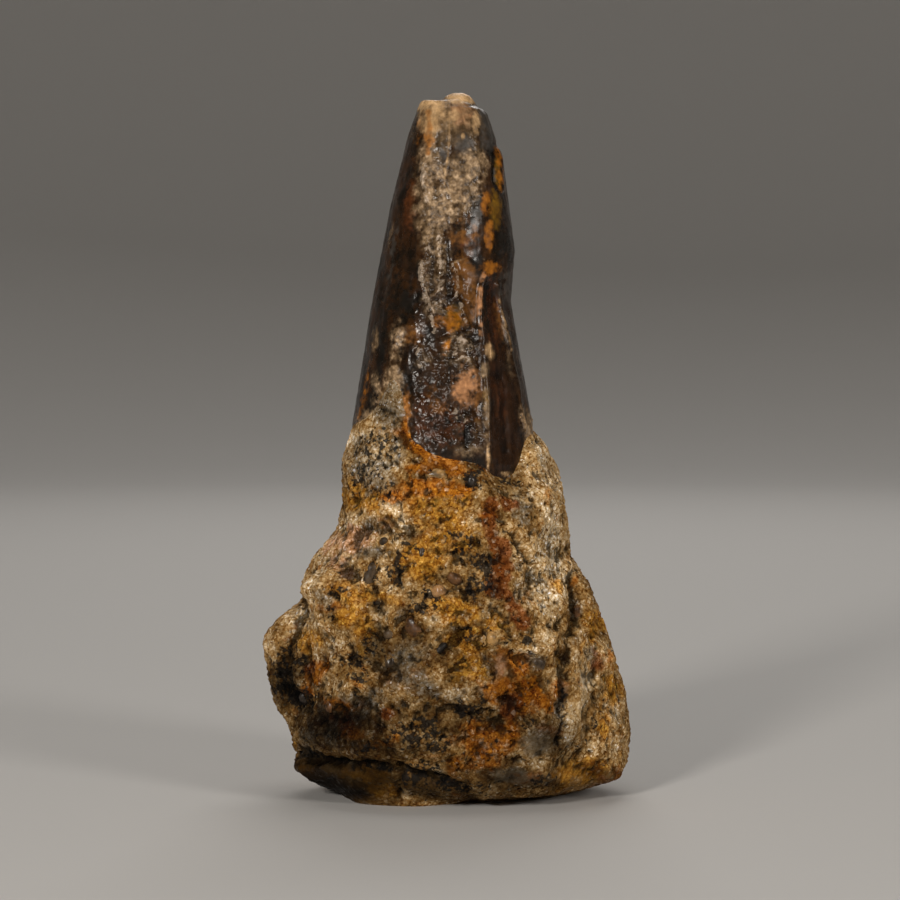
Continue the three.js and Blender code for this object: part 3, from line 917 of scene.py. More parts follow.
class Tree:
    """A node tree that is written node by node. Its result is what its last node takes in."""

    def __init__(self, group, result):
        self.group = group
        self.result = result

    def fill(self, sockets, values):
        """Links wires to sockets, and sets plain values on them."""
        for key, value in values.items():
            if isinstance(value, Wire):
                self.group.links.new(value.socket, sockets[key])
            else:
                sockets[key].default_value = value

    def add(self, kind, inputs=None, **settings):
        node = self.group.nodes.new(kind)
        for name, value in settings.items():
            setattr(node, name, value)
        self.fill(node.inputs, inputs or {})
        return Node(self, node)

    def maths(self, operation, *values, clamp=False):
        inputs = dict(enumerate(values))
        return self.add("ShaderNodeMath", inputs, operation=operation, use_clamp=clamp)[0]

    def noise(self, place, span, detail=2.0, roughness=0.5, output="Fac"):
        inputs = {"Vector": place, "Scale": 1 / span, "Detail": detail, "Roughness": roughness}
        return self.add("ShaderNodeTexNoise", inputs)[output]

    def noises(self, *terms):
        """Three independent noises between 0 and 1."""
        return self.noise(*terms, "Color").channels()

    def drifting(self, place, span, shift, count):
        """Cloudy values between 0 and 1, three from each of a few noises."""
        places = [place.moved(tuple(turn * step for step in shift)) for turn in range(count)]
        return [value for beside in places for value in self.noises(beside, span, *DRIFT_DETAIL)]

    def cells(self, place, span, feature="F1"):
        inputs = {"Vector": place, "Scale": 1 / span}
        return self.add("ShaderNodeTexVoronoi", inputs, feature=feature)

    def mixed(self, share, first, second, way="MIX"):
        settings = {"data_type": "RGBA", "blend_type": way}
        return self.add("ShaderNodeMix", {0: share, 6: first, 7: second}, **settings)[2]

    def filtered(self, colour, red, green, blue):
        factor = self.add("ShaderNodeCombineColor", {0: red, 1: green, 2: blue})[0]
        return self.mixed(1.0, colour, factor, "MULTIPLY")

    def dimmed(self, colour, factor):
        return self.filtered(colour, factor, factor, factor)

    def lit(self, colour, light, paling):
        """A colour made brighter and paler, or darker and richer."""
        return self.filtered(colour, light, light ** paling[0], light ** paling[1])

    def bumped(self, height, distance, normal=None):
        inputs = {"Height": height, "Distance": distance, "Strength": 1.0}
        if normal is not None:
            inputs["Normal"] = normal
        return self.add("ShaderNodeBump", inputs)[0]

    def field(self, name, output="Fac"):
        """A value that the piece carries, in a material."""
        return self.add("ShaderNodeAttribute", attribute_name=name)[output]

    def carried(self, name, kind="FLOAT"):
        """A value that the points carry, in a geometry tree."""
        node = self.add("GeometryNodeInputNamedAttribute", {"Name": name}, data_type=kind)
        return node["Attribute"]

    def place(self):
        return self.add("GeometryNodeInputPosition")[0]

    def raised(self, geometry, normal, rise):
        inputs = {"Geometry": geometry, "Offset": normal.scaled(rise)}
        return self.add("GeometryNodeSetPosition", inputs)[0]

    def raised_skin(self, geometry, rise):
        return self.raised(geometry, self.add("GeometryNodeInputNormal")[0], rise)

    def noted(self, points, name, value, kind):
        inputs = {"Geometry": points, "Name": name, "Value": value}
        settings = {"data_type": kind, "domain": "POINT"}
        return self.add("GeometryNodeStoreNamedAttribute", inputs, **settings)[0]

    def copies(self, points, shape, turn, size):
        """A shape on every point, realized. Each copy carries its point's number as its grain."""
        order = self.add("GeometryNodeInputIndex")[0]
        numbered = self.noted(points, "grain", order, "INT")
        inputs = {"Points": numbered, "Instance": shape, "Rotation": turn, "Scale": size}
        placed = self.add("GeometryNodeInstanceOnPoints", inputs)[0]
        return self.add("GeometryNodeRealizeInstances", {"Geometry": placed})[0]

    def dressed(self, geometry):
        """Ends a geometry tree: its result gets the material that the tree was given."""
        inputs = {"Geometry": geometry, "Material": self.given["Material"]}
        self.fill(self.result, {"Geometry": self.add("GeometryNodeSetMaterial", inputs)[0]})
        return self.group


def new_tree(name, kind, inputs, outputs):
    """An empty node group. Its sockets are given as {name: type}."""
    group = bpy.data.node_groups.new(name, kind)
    for way, sockets in (("INPUT", inputs), ("OUTPUT", outputs)):
        for key, socket_type in sockets.items():
            group.interface.new_socket(key, in_out=way, socket_type=socket_type)
    tree = Tree(group, group.nodes.new("NodeGroupOutput").inputs)
    tree.given = tree.add("NodeGroupInput")
    return tree


def geometry_tree(name, sizes, counts=()):
    """An empty geometry tree that takes a mesh, named sizes, named counts and a material."""
    inputs = {"Geometry": "NodeSocketGeometry", "Material": "NodeSocketMaterial"}
    inputs.update({key: "NodeSocketFloat" for key in sizes})
    inputs.update({key: "NodeSocketInt" for key in counts})
    return new_tree(name, "GeometryNodeTree", inputs, {"Geometry": "NodeSocketGeometry"})


def made_mesh(name, source, tree, values):
    """The plain mesh that a geometry tree makes from a source mesh."""
    holder = link(name + "_maker", source)
    modifier = holder.modifiers.new(tree.name, "NODES")
    modifier.node_group = tree
    sockets = [item for item in tree.interface.items_tree if item.in_out == "INPUT"]
    identifiers = {socket.name: socket.identifier for socket in sockets}
    for key, value in values.items():
        modifier[identifiers[key]] = value
    shown = holder.evaluated_get(bpy.context.evaluated_depsgraph_get())
    mesh = bpy.data.meshes.new_from_object(shown)
    mesh.name = name
    bpy.data.objects.remove(holder)
    return mesh


# The relief of the stone and of the crown, sand and granules, as geometry trees


def stone_relief_tree():
    """Swells, pebbles, crumbs that stand proud, pits where grains fell out, and grit."""
    tree = geometry_tree("stone_relief", STONE_RELIEF)
    given = tree.given
    place = tree.place()
    elsewhere = place.moved(PIT_SHIFT)
    swell = tree.noise(place, given["Swell Span"], *SWELL_DETAIL).swung(given["Swell Height"])
    pebble = tree.cells(place, given["Pebble Span"], "SMOOTH_F1")["Distance"]
    pebble = (0.5 - pebble) * given["Pebble Height"]
    crumb = tree.noise(place, given["Crumb Span"], *CRUMB_DETAIL).ranged(*CRUMB_EDGE)
    crumb = crumb * given["Crumb Height"]
    pit = tree.noise(elsewhere, given["Pit Span"], *CRUMB_DETAIL).ranged(*PIT_EDGE)
    pit = pit * given["Pit Depth"] * -1.0
    grit = (0.5 - tree.cells(place, given["Grit Span"])["Distance"]) * given["Grit Height"]
    broken = (pebble + crumb + pit + grit) * tree.carried("rough")
    rise = (swell + broken) * tree.carried("relief")
    return tree.dressed(tree.raised_skin(given["Geometry"], rise))


def crown_relief_tree():
    """Swells, ribs along the crown, shallow pits, and the grain of the crust."""
    tree = geometry_tree("crown_relief", CROWN_RELIEF)
    given = tree.given
    place = tree.place()
    flow = tree.carried("flow", "FLOAT_VECTOR")
    swell = tree.noise(place, given["Swell Span"]).swung(given["Swell Height"])
    rib = tree.noise(flow, given["Rib Span"]).swung(given["Rib Height"])
    pit = tree.cells(place, given["Pit Span"], "SMOOTH_F1")["Distance"]
    pit = pit.swung(given["Pit Height"]) * tree.carried("pitted")
    grain = tree.noise(place, given["Crust Span"])
    crust = tree.carried("crust") + tree.carried("cream") + (grain - 0.5)
    crust = crust.ranged(*CRUST_EDGE) * grain * given["Crust Height"]
    rise = (swell + rib) + (pit + crust)
    return tree.dressed(tree.raised_skin(given["Geometry"], rise))


def sand_tree():
    """Grains scattered over a skin, each with a random shape and its own tone."""
    tree = geometry_tree("sand_cover", SAND_TERMS[:5], SAND_TERMS[5:])
    given = tree.given
    clumps = tree.noise(tree.place(), given["Clump Span"]).ranged(*CLUMP_COVER)
    spots = tree.add(
        "GeometryNodeDistributePointsOnFaces",
        {
            "Mesh": given["Geometry"],
            "Distance Min": given["Spacing"],
            "Density Max": SAND_FULLNESS / (given["Spacing"] * given["Spacing"]),
            "Density Factor": tree.carried("cover") * clumps,
            "Seed": given["Seed"],
        },
        distribute_method="POISSON",
    )
    sink = given["Smallest"] * (given["Sunk"] * -1.0)
    points = tree.raised(spots["Points"], spots["Normal"], sink)
    tone = tree.add("FunctionNodeRandomValue", {"Seed": given["Seed"] + TONE_DRAW}, data_type="FLOAT")
    points = tree.noted(points, "tone", tone[1], "FLOAT")
    grain = {"Segments": given["Sides"], "Rings": given["Rings"], "Radius": 1.0}
    grain = tree.add("GeometryNodeMeshUVSphere", grain)["Mesh"]

    def random_vector(lowest, highest, shift):
        inputs = {0: lowest, 1: highest, "Seed": given["Seed"] + shift}
        return tree.add("FunctionNodeRandomValue", inputs, data_type="FLOAT_VECTOR")[0]

    def all_ways(size):
        return tree.add("ShaderNodeCombineXYZ", {axis: size for axis in range(3)})[0]

    turn = random_vector((0.0, 0.0, 0.0), (2 * math.pi,) * 3, TURN_DRAW)
    size = random_vector(all_ways(given["Smallest"]), all_ways(given["Largest"]), SIZE_DRAW)
    grains = {"Geometry": tree.copies(points, grain, turn, size), "Shade Smooth": False}
    return tree.dressed(tree.add("GeometryNodeSetShadeSmooth", grains)[0])


def granule_tree():
    """A worn pebble on every point, with the half sizes and turn that the point carries."""
    tree = geometry_tree("granules", GRANULE_DENTS)
    given = tree.given
    ball = tree.add("GeometryNodeMeshIcoSphere", {"Radius": 1.0, "Subdivisions": GRANULE_LEVEL})["Mesh"]
    turn = tree.carried("turn", "FLOAT_VECTOR")
    pebbles = tree.copies(given["Geometry"], ball, turn, tree.carried("reach", "FLOAT_VECTOR"))
    dents = tree.noise(tree.place(), given["Dent Span"], DENT_DETAIL).swung(given["Dent Height"])
    return tree.dressed(tree.raised_skin(pebbles, dents))


# Materials

# Lengths are in millimetres, apart from the heights of bumps. A noise is given by its span, how many
# finer layers it has and how strong each is beside the last. A range is given by where a value sets in,
# where it is full, and what it turns into at both.

# Sand, from its darkest to its palest tone: where along the scale, and the colour
SAND_TONES = [
    (0.00, (0.034, 0.0160, 0.0040, 1)),
    (0.25, (0.102, 0.049, 0.0115, 1)),
    (0.45, (0.220, 0.119, 0.035, 1)),
    (0.62, (0.37, 0.220, 0.082, 1)),
    (0.80, (0.53, 0.358, 0.172, 1)),
    (1.00, (0.71, 0.53, 0.31, 1)),
]
MIDDLE_TONE = 0.463
STAIN_LIGHT = (0.6, 0.7)  # how bright a stain is on the darkest sand, and how much it gains on the palest
TONE_DRIFT = 1.35  # how far the tone swings from place to place,
TONE_LOT = 0.14  # and from grain to grain
# Stains that only move the tone along the scale
TONE_SHIFTS = {"cream": 0.46, "brown": -0.45}
# Stains with a colour of their own, and how far each has spread where none is drawn
SAND_COLOURS = {
    "ochre": ((0.44, 0.195, 0.020, 1), 0.08),
    "orange": ((0.38, 0.115, 0.004, 1), 0.06),
    "pink": ((0.50, 0.262, 0.130, 1), -0.05),
    "grey": ((0.24, 0.180, 0.108, 1), 0.10),
    "rust": ((0.16, 0.037, 0.004, 1), 0.03),
}
SAND_FIELDS = (*TONE_SHIFTS, *SAND_COLOURS, "black")
STAIN_DRIFT = 2.2  # how ragged a stain is,
STAIN_EDGE = (0.28, 0.78)  # how strong it is where it sets in and where it is full,
STAIN_HIDING = 0.85  # and how far it then hides the sand
PEPPER = (0.012, 0.011, 0.010, 1)  # specks of black
PEPPER_SWINGS = (1.1, 1.7, 0.8)  # from place to place, from clump to clump, from grain to grain
PEPPER_CLUMP = (0.6, 2.0, 0.6)
PEPPER_EDGE = (0.40, 0.80)
PEPPER_HIDING = 0.93
QUARTZ = (0.43, 0.31, 0.175, 1)
QUARTZ_LOTS = (0.82, 0.92)  # the grains that are quartz
QUARTZ_SHARE = 0.35
THICKEST_DIRT_AND_PAINTED_SHADE = 0.10  # how much light the thickest dirt and painted shade give back
SMOOTH_SHARE = 0.25  # of the sand's unevenness on a smooth stain
DARKEST_LIGHT = 0.15
STONE_GRAIN = 0.40
STONE_DUST = 0.20
STONE_CRUMB = (0.35, 3.0, 0.7)
STONE_BUMP = 0.30 * MM  # of which crumbs, grains and dust have these shares
CRUMB_BUMP = 0.7
GRAIN_BUMP = 0.35
DUST_BUMP = 0.25
GRAIN_SWING = 0.55  # how far the light swings from grain to grain,
DUST_SWING = 0.60  # and within a grain
GAP_LIGHT = (0.25, 0.60, -0.30, 0.06)  # painted shade: the light lost in the gaps between grains
PAINTED_SPARKLE = (0.90, 0.97, 0.0, 0.7)  # painted glints: the light that a few bright spots add
STONE_ROUGHNESS = (0.6, 1.0, 0.85, 0.40)
WAXY = 0.8  # how rough a smooth stain is beside the rest
HOLLOW_SHADE = 0.20  # painted shade: how much light the deepest hollow gives back,
RIDGE_LIGHT = 1.30  # and painted light: how much the highest ridge gives back
SAND_LIGHT = (0.0, 1.0, 0.60, 1.40)
# Painted glints on a few grains
SAND_PAINTED_SPARKLE = (0.9, 1.0, 0.0, 0.6)
SAND_ROUGHNESS = (0.5, 1.0, 0.85, 0.40)
# Painted shade on the sand grains that lie in the stone's hollows
SAND_HOLLOW_SHADE = 0.40
PATCH_SPAN = 2.4  # of the drift that makes every stain ragged
DRIFT_DETAIL = (3.0, 0.62)
GRAIN_DETAIL = (1.0, 0.5)
GRAIN_UNEVENNESS = 0.9  # how far the noise moves a grain, in grains
PATTERN_TURN = (0.6, 0.4, 0.3)  # so that no pattern lines up with an axis
# A brighter grain is also paler: green and blue grow by these powers of the red
SAND_PALING = (1.4, 2.2)
ENAMEL_PALING = (1.1, 1.3)
# Gloss: the specular level of each finish
STONE_GLOSS = 0.07
SAND_GLOSS = 0.12
QUARTZ_GLOSS = 0.22
ENAMEL_GLOSS = 0.27
QUARTZ_IOR = 1.54
QUARTZ_CLOUD = (1.1, 2.0, 0.6)
QUARTZ_CHIP = (0.7, 1.0, 0.5)
CLOUD_LIGHT = (0.3, 0.7, 0.35, 2.0)
CHIP_ROUGHNESS = (0.35, 0.65, 0.22, 0.45)
QUARTZ_BUMP = 0.12 * MM
# Enamel: its darkest and warmest tone, and for each stain its colour and how far it hides the rest
ENAMEL_TONES = ((0.0068, 0.0038, 0.0014, 1), (0.036, 0.0142, 0.0038, 1))
TOOTH_COLOURS = {
    "blade": ((0.022, 0.0088, 0.0030, 1), 0.90),
    "russet": ((0.070, 0.0205, 0.0050, 1), 0.80),
    "black": ((0.006, 0.0045, 0.0025, 1), 0.90),
    "amber": ((0.195, 0.078, 0.016, 1), 0.80),
    "blush": ((0.46, 0.210, 0.082, 1), 0.80),
    "haze": ((0.170, 0.107, 0.053, 1), 0.75),
    "slate": ((0.052, 0.044, 0.036, 1), 0.85),
    "crust": ((0.32, 0.208, 0.109, 1), 0.85),
    "cream": ((0.63, 0.395, 0.188, 1), 0.92),
    "gold": ((0.20, 0.097, 0.003, 1), 0.72),
    "orange": ((0.31, 0.102, 0.003, 1), 0.75),
    # painted glints on the glossy ridges
    "gloss_and_painted_glint": ((0.44, 0.345, 0.255, 1), 0.52),
}
FILMS = ("crust", "cream")
MATT_STAINS = (*FILMS, "haze")
DULL_STAINS = (*FILMS, "slate", "blush", "gold", "orange")
ENAMEL_DRIFT = 2.0
STREAK = (1.0, 3.0, 0.6)
THREAD = (0.40, 2.0, 0.6)
FLECK = (0.85, 1.5, 0.55)
SPECK = (0.45, 1.5, 0.55)
MOTTLE = (1.3, 1.8, 2.2)  # how far drifts, flecks and specks swing the light
MOTTLING = (0.0, 0.8, 0.6, 1.05)  # how much of that bare enamel and a matt stain take
DARKEST_ENAMEL = 0.2
# Painted shade in the enamel's hollows
ENAMEL_HOLLOW_SHADE = 0.4
WARM = (0.38, 0.62)  # the mean of a streak and a drift at which the enamel is dark, and at which warm
UNBROKEN = 0.35  # how ragged a stain is where the enamel is sheer, beside the rest
# How far a stain's edge swings with drifts, streaks, flecks and specks
DRIFT_SWING = 1.6
STREAK_SWING = 0.6
FLECK_SWING = 2.0
FILM_FLECK_SWING = 1.2
SPECK_SWING = 0.9
PAINTED_GLINT_SPECK_SWING = 3.0
RAGGED = (0.0, 0.45, 0.15, 1.0)  # how much of the swing a weak stain and a strong one take
SETS_IN = 0.08  # how strong a stain is where it begins to show,
PAINTED_GLINT_SETS_IN = 0.60  # and the painted glints of a glossy ridge,
FULL = 1.05  # and where it is full
THREAD_LIGHT = (0.3, 0.8, 0.5, 2.6)  # how strong the fine threads are off the blade and on it
SATIN = (0.35, 0.65, 0.19, 0.32)  # roughness of bare enamel
DULLED = 0.22  # more where a dull stain lies,
PITTED_ROUGHNESS = 0.05  # more where it is pitted,
POLISHED = 0.14  # and less on the glossy ridges
BEAD = 0.50
WRINKLE = (0.75, 1.0, 0.4)
SMOOTH_WRINKLES = 0.08  # the share of the wrinkles where it isn't pitted
PIT_BEADS = 0.12  # the share of beads in the wrinkles where it is pitted,
SHINE_BEADS = 0.16  # and on the glossy ridges
THREAD_BUMP = 0.012 * MM
LEATHER_BUMP = 0.50 * MM
GRIT_BUMP = 0.14 * MM


def sand_colour_group():
    """The colour of stained sand at a place in millimetres. Light and Lot differ from grain to grain."""
    inputs = {key: "NodeSocketFloat" for key in (*SAND_FIELDS, "Light", "Lot")}
    inputs["Place"] = "NodeSocketVector"
    tree = new_tree("sand_colour", "ShaderNodeTree", inputs, {"Color": "NodeSocketColor"})
    place, light, lot = (tree.given[key] for key in ("Place", "Light", "Lot"))
    drifts = tree.drifting(place, PATCH_SPAN, (31.0, 0.0, 0.0), 3)
    tone = drifts[8].swung(TONE_DRIFT) + MIDDLE_TONE + lot.swung(TONE_LOT)
    for kind, shift in TONE_SHIFTS.items():
        tone = tone + tree.given[kind] * shift
    ramp = tree.add("ShaderNodeValToRGB", {0: tone})
    stops = ramp.node.color_ramp.elements
    for position, _ in SAND_TONES[1:-1]:
        stops.new(position)
    for stop, (position, tint) in zip(stops, SAND_TONES):
        stop.position = position
        stop.color = tint
    colour = ramp["Color"]
    bright = tone * STAIN_LIGHT[1] + STAIN_LIGHT[0]
    for (kind, (tint, spread)), drift in zip(SAND_COLOURS.items(), drifts):
        amount = tree.given[kind] + spread + drift.swung(STAIN_DRIFT)
        share = amount.ranged(*STAIN_EDGE) * STAIN_HIDING
        colour = tree.mixed(share, colour, tree.dimmed(tint, bright))
    clumps = tree.noise(place, *PEPPER_CLUMP)
    swings = zip((drifts[7], clumps, lot), PEPPER_SWINGS)
    pepper = sum((value.swung(swing) for value, swing in swings), start=tree.given["black"])
    quartz = lot.ranged(*QUARTZ_LOTS, 0.0, QUARTZ_SHARE)
    colour = tree.mixed(quartz, colour, tree.dimmed(QUARTZ, bright))
    colour = tree.lit(colour, light, SAND_PALING)
    share = pepper.ranged(*PEPPER_EDGE) * PEPPER_HIDING
    colour = tree.mixed(share, colour, tree.dimmed(PEPPER, light))
    tree.fill(tree.result, {"Color": colour})
    return tree.group


def grain_cells_group():
    """Close-packed uneven grains of one size: a random colour for each, and a rounded height."""
    inputs = {"Place": "NodeSocketVector", "Size": "NodeSocketFloat"}
    outputs = {"Chance": "NodeSocketColor", "Height": "NodeSocketFloat"}
    tree = new_tree("grain_cells", "ShaderNodeTree", inputs, outputs)
    place, size = tree.given["Place"], tree.given["Size"]
    uneven = tree.noise(place, size, *GRAIN_DETAIL, "Color").moved((-0.5, -0.5, -0.5))
    packed = tree.cells(place.moved(uneven.scaled(size * GRAIN_UNEVENNESS)), size)
    height = tree.maths("SUBTRACT", 1.0, packed["Distance"], clamp=True)
    tree.fill(tree.result, {"Chance": packed["Color"], "Height": height})
    return tree.group


def start_material(name):
    material = bpy.data.materials.new(name)
    material.use_nodes = True
    tree = material.node_tree
    return material, Tree(tree, tree.nodes["Principled BSDF"].inputs)


def own_place(tree):
    """The piece's own coordinates, in millimetres."""
    place = tree.add("ShaderNodeTexCoord")["Object"]
    inputs = {"Vector": place, "Scale": (1 / MM,) * 3, "Rotation": PATTERN_TURN}
    return tree.add("ShaderNodeMapping", inputs)[0]


def cells_at(tree, group, place, size):
    return tree.add("ShaderNodeGroup", {"Place": place, "Size": size}, node_tree=group)


def stained(tree, group, place, light, lot):
    """The colour of sand with the stains that the piece carries."""
    stains = {kind: tree.field(kind) for kind in SAND_FIELDS}
    inputs = {"Place": place, **stains, "Light": light, "Lot": lot}
    return tree.add("ShaderNodeGroup", inputs, node_tree=group)["Color"]


def shade_of(tree, name, shade):
    """1 where a value that the piece carries is 0, and a given shade where it is 1."""
    return tree.field(name).ranged(0.0, 1.0, 1.0, shade)


def stone_material(sand_colour, grain_cells):
    material, tree = start_material("sandstone")
    place = own_place(tree)
    grains = cells_at(tree, grain_cells, place, STONE_GRAIN)
    dust = cells_at(tree, grain_cells, place, STONE_DUST)
    lot = grains["Chance"].channels()
    small = dust["Chance"].channels()
    rugged = shade_of(tree, "smooth", SMOOTH_SHARE)
    # Painted shade in the gaps between grains
    gap = grains["Height"].ranged(*GAP_LIGHT)
    # Painted glints on a few spots
    painted_sparkle = small[1].ranged(*PAINTED_SPARKLE)
    light = lot[0].swung(GRAIN_SWING) + small[0].swung(DUST_SWING) + gap + painted_sparkle
    light = tree.maths("MAXIMUM", light * rugged + 1.0, DARKEST_LIGHT)
    colour = stained(tree, sand_colour, place, light, lot[2])
    # Painted shade in the hollows, painted light on the ridges
    shade = shade_of(tree, "hollow", HOLLOW_SHADE) * shade_of(tree, "ridge", RIDGE_LIGHT)
    # painted shade and some dirt, where they are drawn
    shade = shade * shade_of(tree, "dirt_and_painted_shade", THICKEST_DIRT_AND_PAINTED_SHADE)
    waxy = rugged.ranged(SMOOTH_SHARE, 1.0, WAXY, 1.0)
    crumbs = tree.noise(place, *STONE_CRUMB)
    rise = crumbs * CRUMB_BUMP + grains["Height"] * GRAIN_BUMP + dust["Height"] * DUST_BUMP
    looks = {
        "Base Color": tree.dimmed(colour, shade),
        "Roughness": lot[1].ranged(*STONE_ROUGHNESS) * waxy,
        "Normal": tree.bumped(rise * rugged, STONE_BUMP),
        "Specular IOR Level": STONE_GLOSS,
    }
    tree.fill(tree.result, looks)
    return material


def sand_material(sand_colour):
    material, tree = start_material("sand_grains")
    inputs = {"W": tree.field("tone")}
    chance = tree.add("ShaderNodeTexWhiteNoise", inputs, noise_dimensions="1D")["Color"]
    lot = chance.channels()
    # Random tone from grain to grain, and painted glints on a few grains
    light = lot[0].ranged(*SAND_LIGHT) + lot[1].ranged(*SAND_PAINTED_SPARKLE)
    colour = stained(tree, sand_colour, own_place(tree), light, lot[2])
    # Painted shade in the hollows, and painted shade and some dirt where they are drawn
    shade = shade_of(tree, "hollow", SAND_HOLLOW_SHADE) * shade_of(tree, "dirt_and_painted_shade", THICKEST_DIRT_AND_PAINTED_SHADE)
    looks = {
        "Base Color": tree.dimmed(colour, shade),
        "Roughness": lot[1].ranged(*SAND_ROUGHNESS),
        "Specular IOR Level": SAND_GLOSS,
    }
    tree.fill(tree.result, looks)
    return material


def granule_material(name, clearness):
    """Glassy quartz in the granule's own tint, cloudy inside."""
    material, tree = start_material(name)
    place = own_place(tree)
    cloud = tree.noise(place, *QUARTZ_CLOUD).ranged(*CLOUD_LIGHT)
    chips = tree.noise(place, *QUARTZ_CHIP)
    looks = {
        "Base Color": tree.dimmed(tree.field("tint", "Color"), cloud),
        "Roughness": chips.ranged(*CHIP_ROUGHNESS),
        "Normal": tree.bumped(chips, QUARTZ_BUMP),
        "IOR": QUARTZ_IOR,
        "Specular IOR Level": QUARTZ_GLOSS,
        "Transmission Weight": clearness,
    }
    tree.fill(tree.result, looks)
    return material


def enamel_material(grain_cells):
    material, tree = start_material("enamel")
    place = own_place(tree)
    flow = tree.field("flow", "Vector").scaled(1 / MM)
    streaks = tree.noises(flow, *STREAK)
    threads = tree.noise(flow, *THREAD)
    drifts = tree.drifting(place, ENAMEL_DRIFT, (0.0, 0.0, 47.0), 5)
    flecks = tree.noises(place, *FLECK)
    specks = tree.noises(place, *SPECK)
    broken = shade_of(tree, "sheer", UNBROKEN)
    warmth = ((streaks[0] + drifts[13]) * 0.5).ranged(*WARM)
    colour = tree.mixed(warmth, *ENAMEL_TONES)
    shares = {}
    for turn, (kind, (tint, hiding)) in enumerate(TOOTH_COLOURS.items()):
        # the stain on the glossy ridges paints glints as pale specks
        is_painted_glint = kind == "gloss_and_painted_glint"
        drawn = tree.field(kind)
        blotch = flecks[turn % 3].swung(FILM_FLECK_SWING if kind in FILMS else FLECK_SWING)
        torn = blotch + specks[turn % 3].swung(PAINTED_GLINT_SPECK_SWING if is_painted_glint else SPECK_SWING)
        ragged = drifts[turn].swung(DRIFT_SWING) + streaks[(turn + 1) % 3].swung(STREAK_SWING)
        ragged = (ragged + torn * broken) * drawn.ranged(*RAGGED)
        shares[kind] = (drawn + ragged).ranged(PAINTED_GLINT_SETS_IN if is_painted_glint else SETS_IN, FULL)
        colour = tree.mixed(shares[kind] * hiding, colour, tint)

    def strongest(kinds):
        result, *others = (shares[kind] for kind in kinds)
        for other in others:
            result = tree.maths("MAXIMUM", result, other)
        return result

    matt = strongest(MATT_STAINS)
    mottle = drifts[14].swung(MOTTLE[0]) + flecks[1].swung(MOTTLE[1]) + specks[1].swung(MOTTLE[2])
    light = math.e ** (mottle * (matt.ranged(*MOTTLING) * broken))
    lines = threads.swung(1.0) * tree.field("blade").ranged(*THREAD_LIGHT)
    light = tree.maths("MAXIMUM", light * (lines + 1.0), DARKEST_ENAMEL)
    colour = tree.lit(colour, light, ENAMEL_PALING)
    gloss_and_painted_glint = tree.field("gloss_and_painted_glint")
    pitted = tree.field("pitted")
    rough = drifts[2].ranged(*SATIN) + strongest(DULL_STAINS) * DULLED
    rough = rough + pitted.ranged(0.0, 1.0, 0.0, PITTED_ROUGHNESS)
    pits = pitted.ranged(0.0, 1.0, SMOOTH_WRINKLES, 1.0)
    beads = cells_at(tree, grain_cells, place, BEAD)["Height"]
    beads = beads * (pits * PIT_BEADS + gloss_and_painted_glint * SHINE_BEADS)
    leather = tree.noise(place, *WRINKLE) * pits + beads
    normal = tree.bumped(threads, THREAD_BUMP)
    normal = tree.bumped(leather, LEATHER_BUMP, normal)
    looks = {
        # painted shade in the hollows
        "Base Color": tree.dimmed(colour, shade_of(tree, "hollow", ENAMEL_HOLLOW_SHADE)),
        "Roughness": tree.maths("SUBTRACT", rough, gloss_and_painted_glint * POLISHED, clamp=True),
        "Normal": tree.bumped(specks[0] * matt * broken, GRIT_BUMP, normal),
        "Specular IOR Level": ENAMEL_GLOSS,
    }
    tree.fill(tree.result, looks)
    return material


# The pieces


def fit_outline(mesh, shape, outline):
    """Stretches a finished skin sideways until its outline in the picture is the drawn one."""
    points = positions_of(mesh)
    skin = points[:-2].reshape(shape)
    columns, rows = pixels_of(skin)
    stretch = np.ones(rows.shape)
    middle = PICTURE / 2 - PICTURE_MIDDLE.x / PICTURE_SPAN * PICTURE
    for side, line in zip((-1, 1), outline):
        line_columns, line_rows = np.array(line, float).T
        first, last = line_rows[0], line_rows[-1]
        levels = np.arange(first, last)
        reach = (columns - middle) * side
        widest = [reach[np.abs(rows - level) < OUTLINE_NEAR].max() for level in levels]
        wanted = (np.interp(levels, line_rows, line_columns) - middle) * side
        change = np.pad(wanted / np.array(widest) - 1, OUTLINE_EVENING // 2, "edge")
        change = np.convolve(change, np.ones(OUTLINE_EVENING) / OUTLINE_EVENING, "valid")
        near = smooth_step(first - OUTLINE_MARGIN, first, rows)
        near = near * smooth_step(last + OUTLINE_MARGIN, last, rows)
        share = np.clip(reach / np.interp(rows, levels, widest), 0, 1)
        stretch += near * share * np.interp(rows, levels, change)
    skin[..., 0] *= stretch
    mesh.vertices.foreach_set("co", points.astype(np.float32).ravel())


def write_field(mesh, name, values):
    attribute = mesh.attributes.get(name) or mesh.attributes.new(name, "FLOAT", "POINT")
    flat = np.concatenate([values.ravel(), [0, 0]])
    attribute.data.foreach_set("value", flat.astype(np.float32))


def sculpted(name, skin, shape, relief, sizes, material, outline, deepest):
    """A skin with its relief and its outline, which notes where it is hollow or stands proud."""
    values = {key: size * MM for key, size in sizes.items()}
    mesh = made_mesh(name, skin, relief, {**values, "Material": material})
    fit_outline(mesh, shape, outline)
    points = positions_of(mesh)[:-2].reshape(shape)
    hollow = sum(hollows_of(points, width) for width in HOLLOW_WIDTHS) / len(HOLLOW_WIDTHS)
    write_field(mesh, "hollow", np.clip(hollow / deepest, 0, 1))
    write_field(mesh, "ridge", np.clip(-hollow / deepest, 0, 1))
    return mesh


def tooth_radii(heights, angles):
    """The tooth's own radii, thickened to fill its socket above the root."""
    radii = radii_of(tooth_surface, angles, np.minimum(heights, HIGHEST_RING))
    thicker = smooth_step(*FILL_START, heights) * smooth_step(*FILL_END, heights)
    thicker = thicker[:, None] * TOOTH_FILL
    return np.nan_to_num(radii, nan=0.0) + thicker


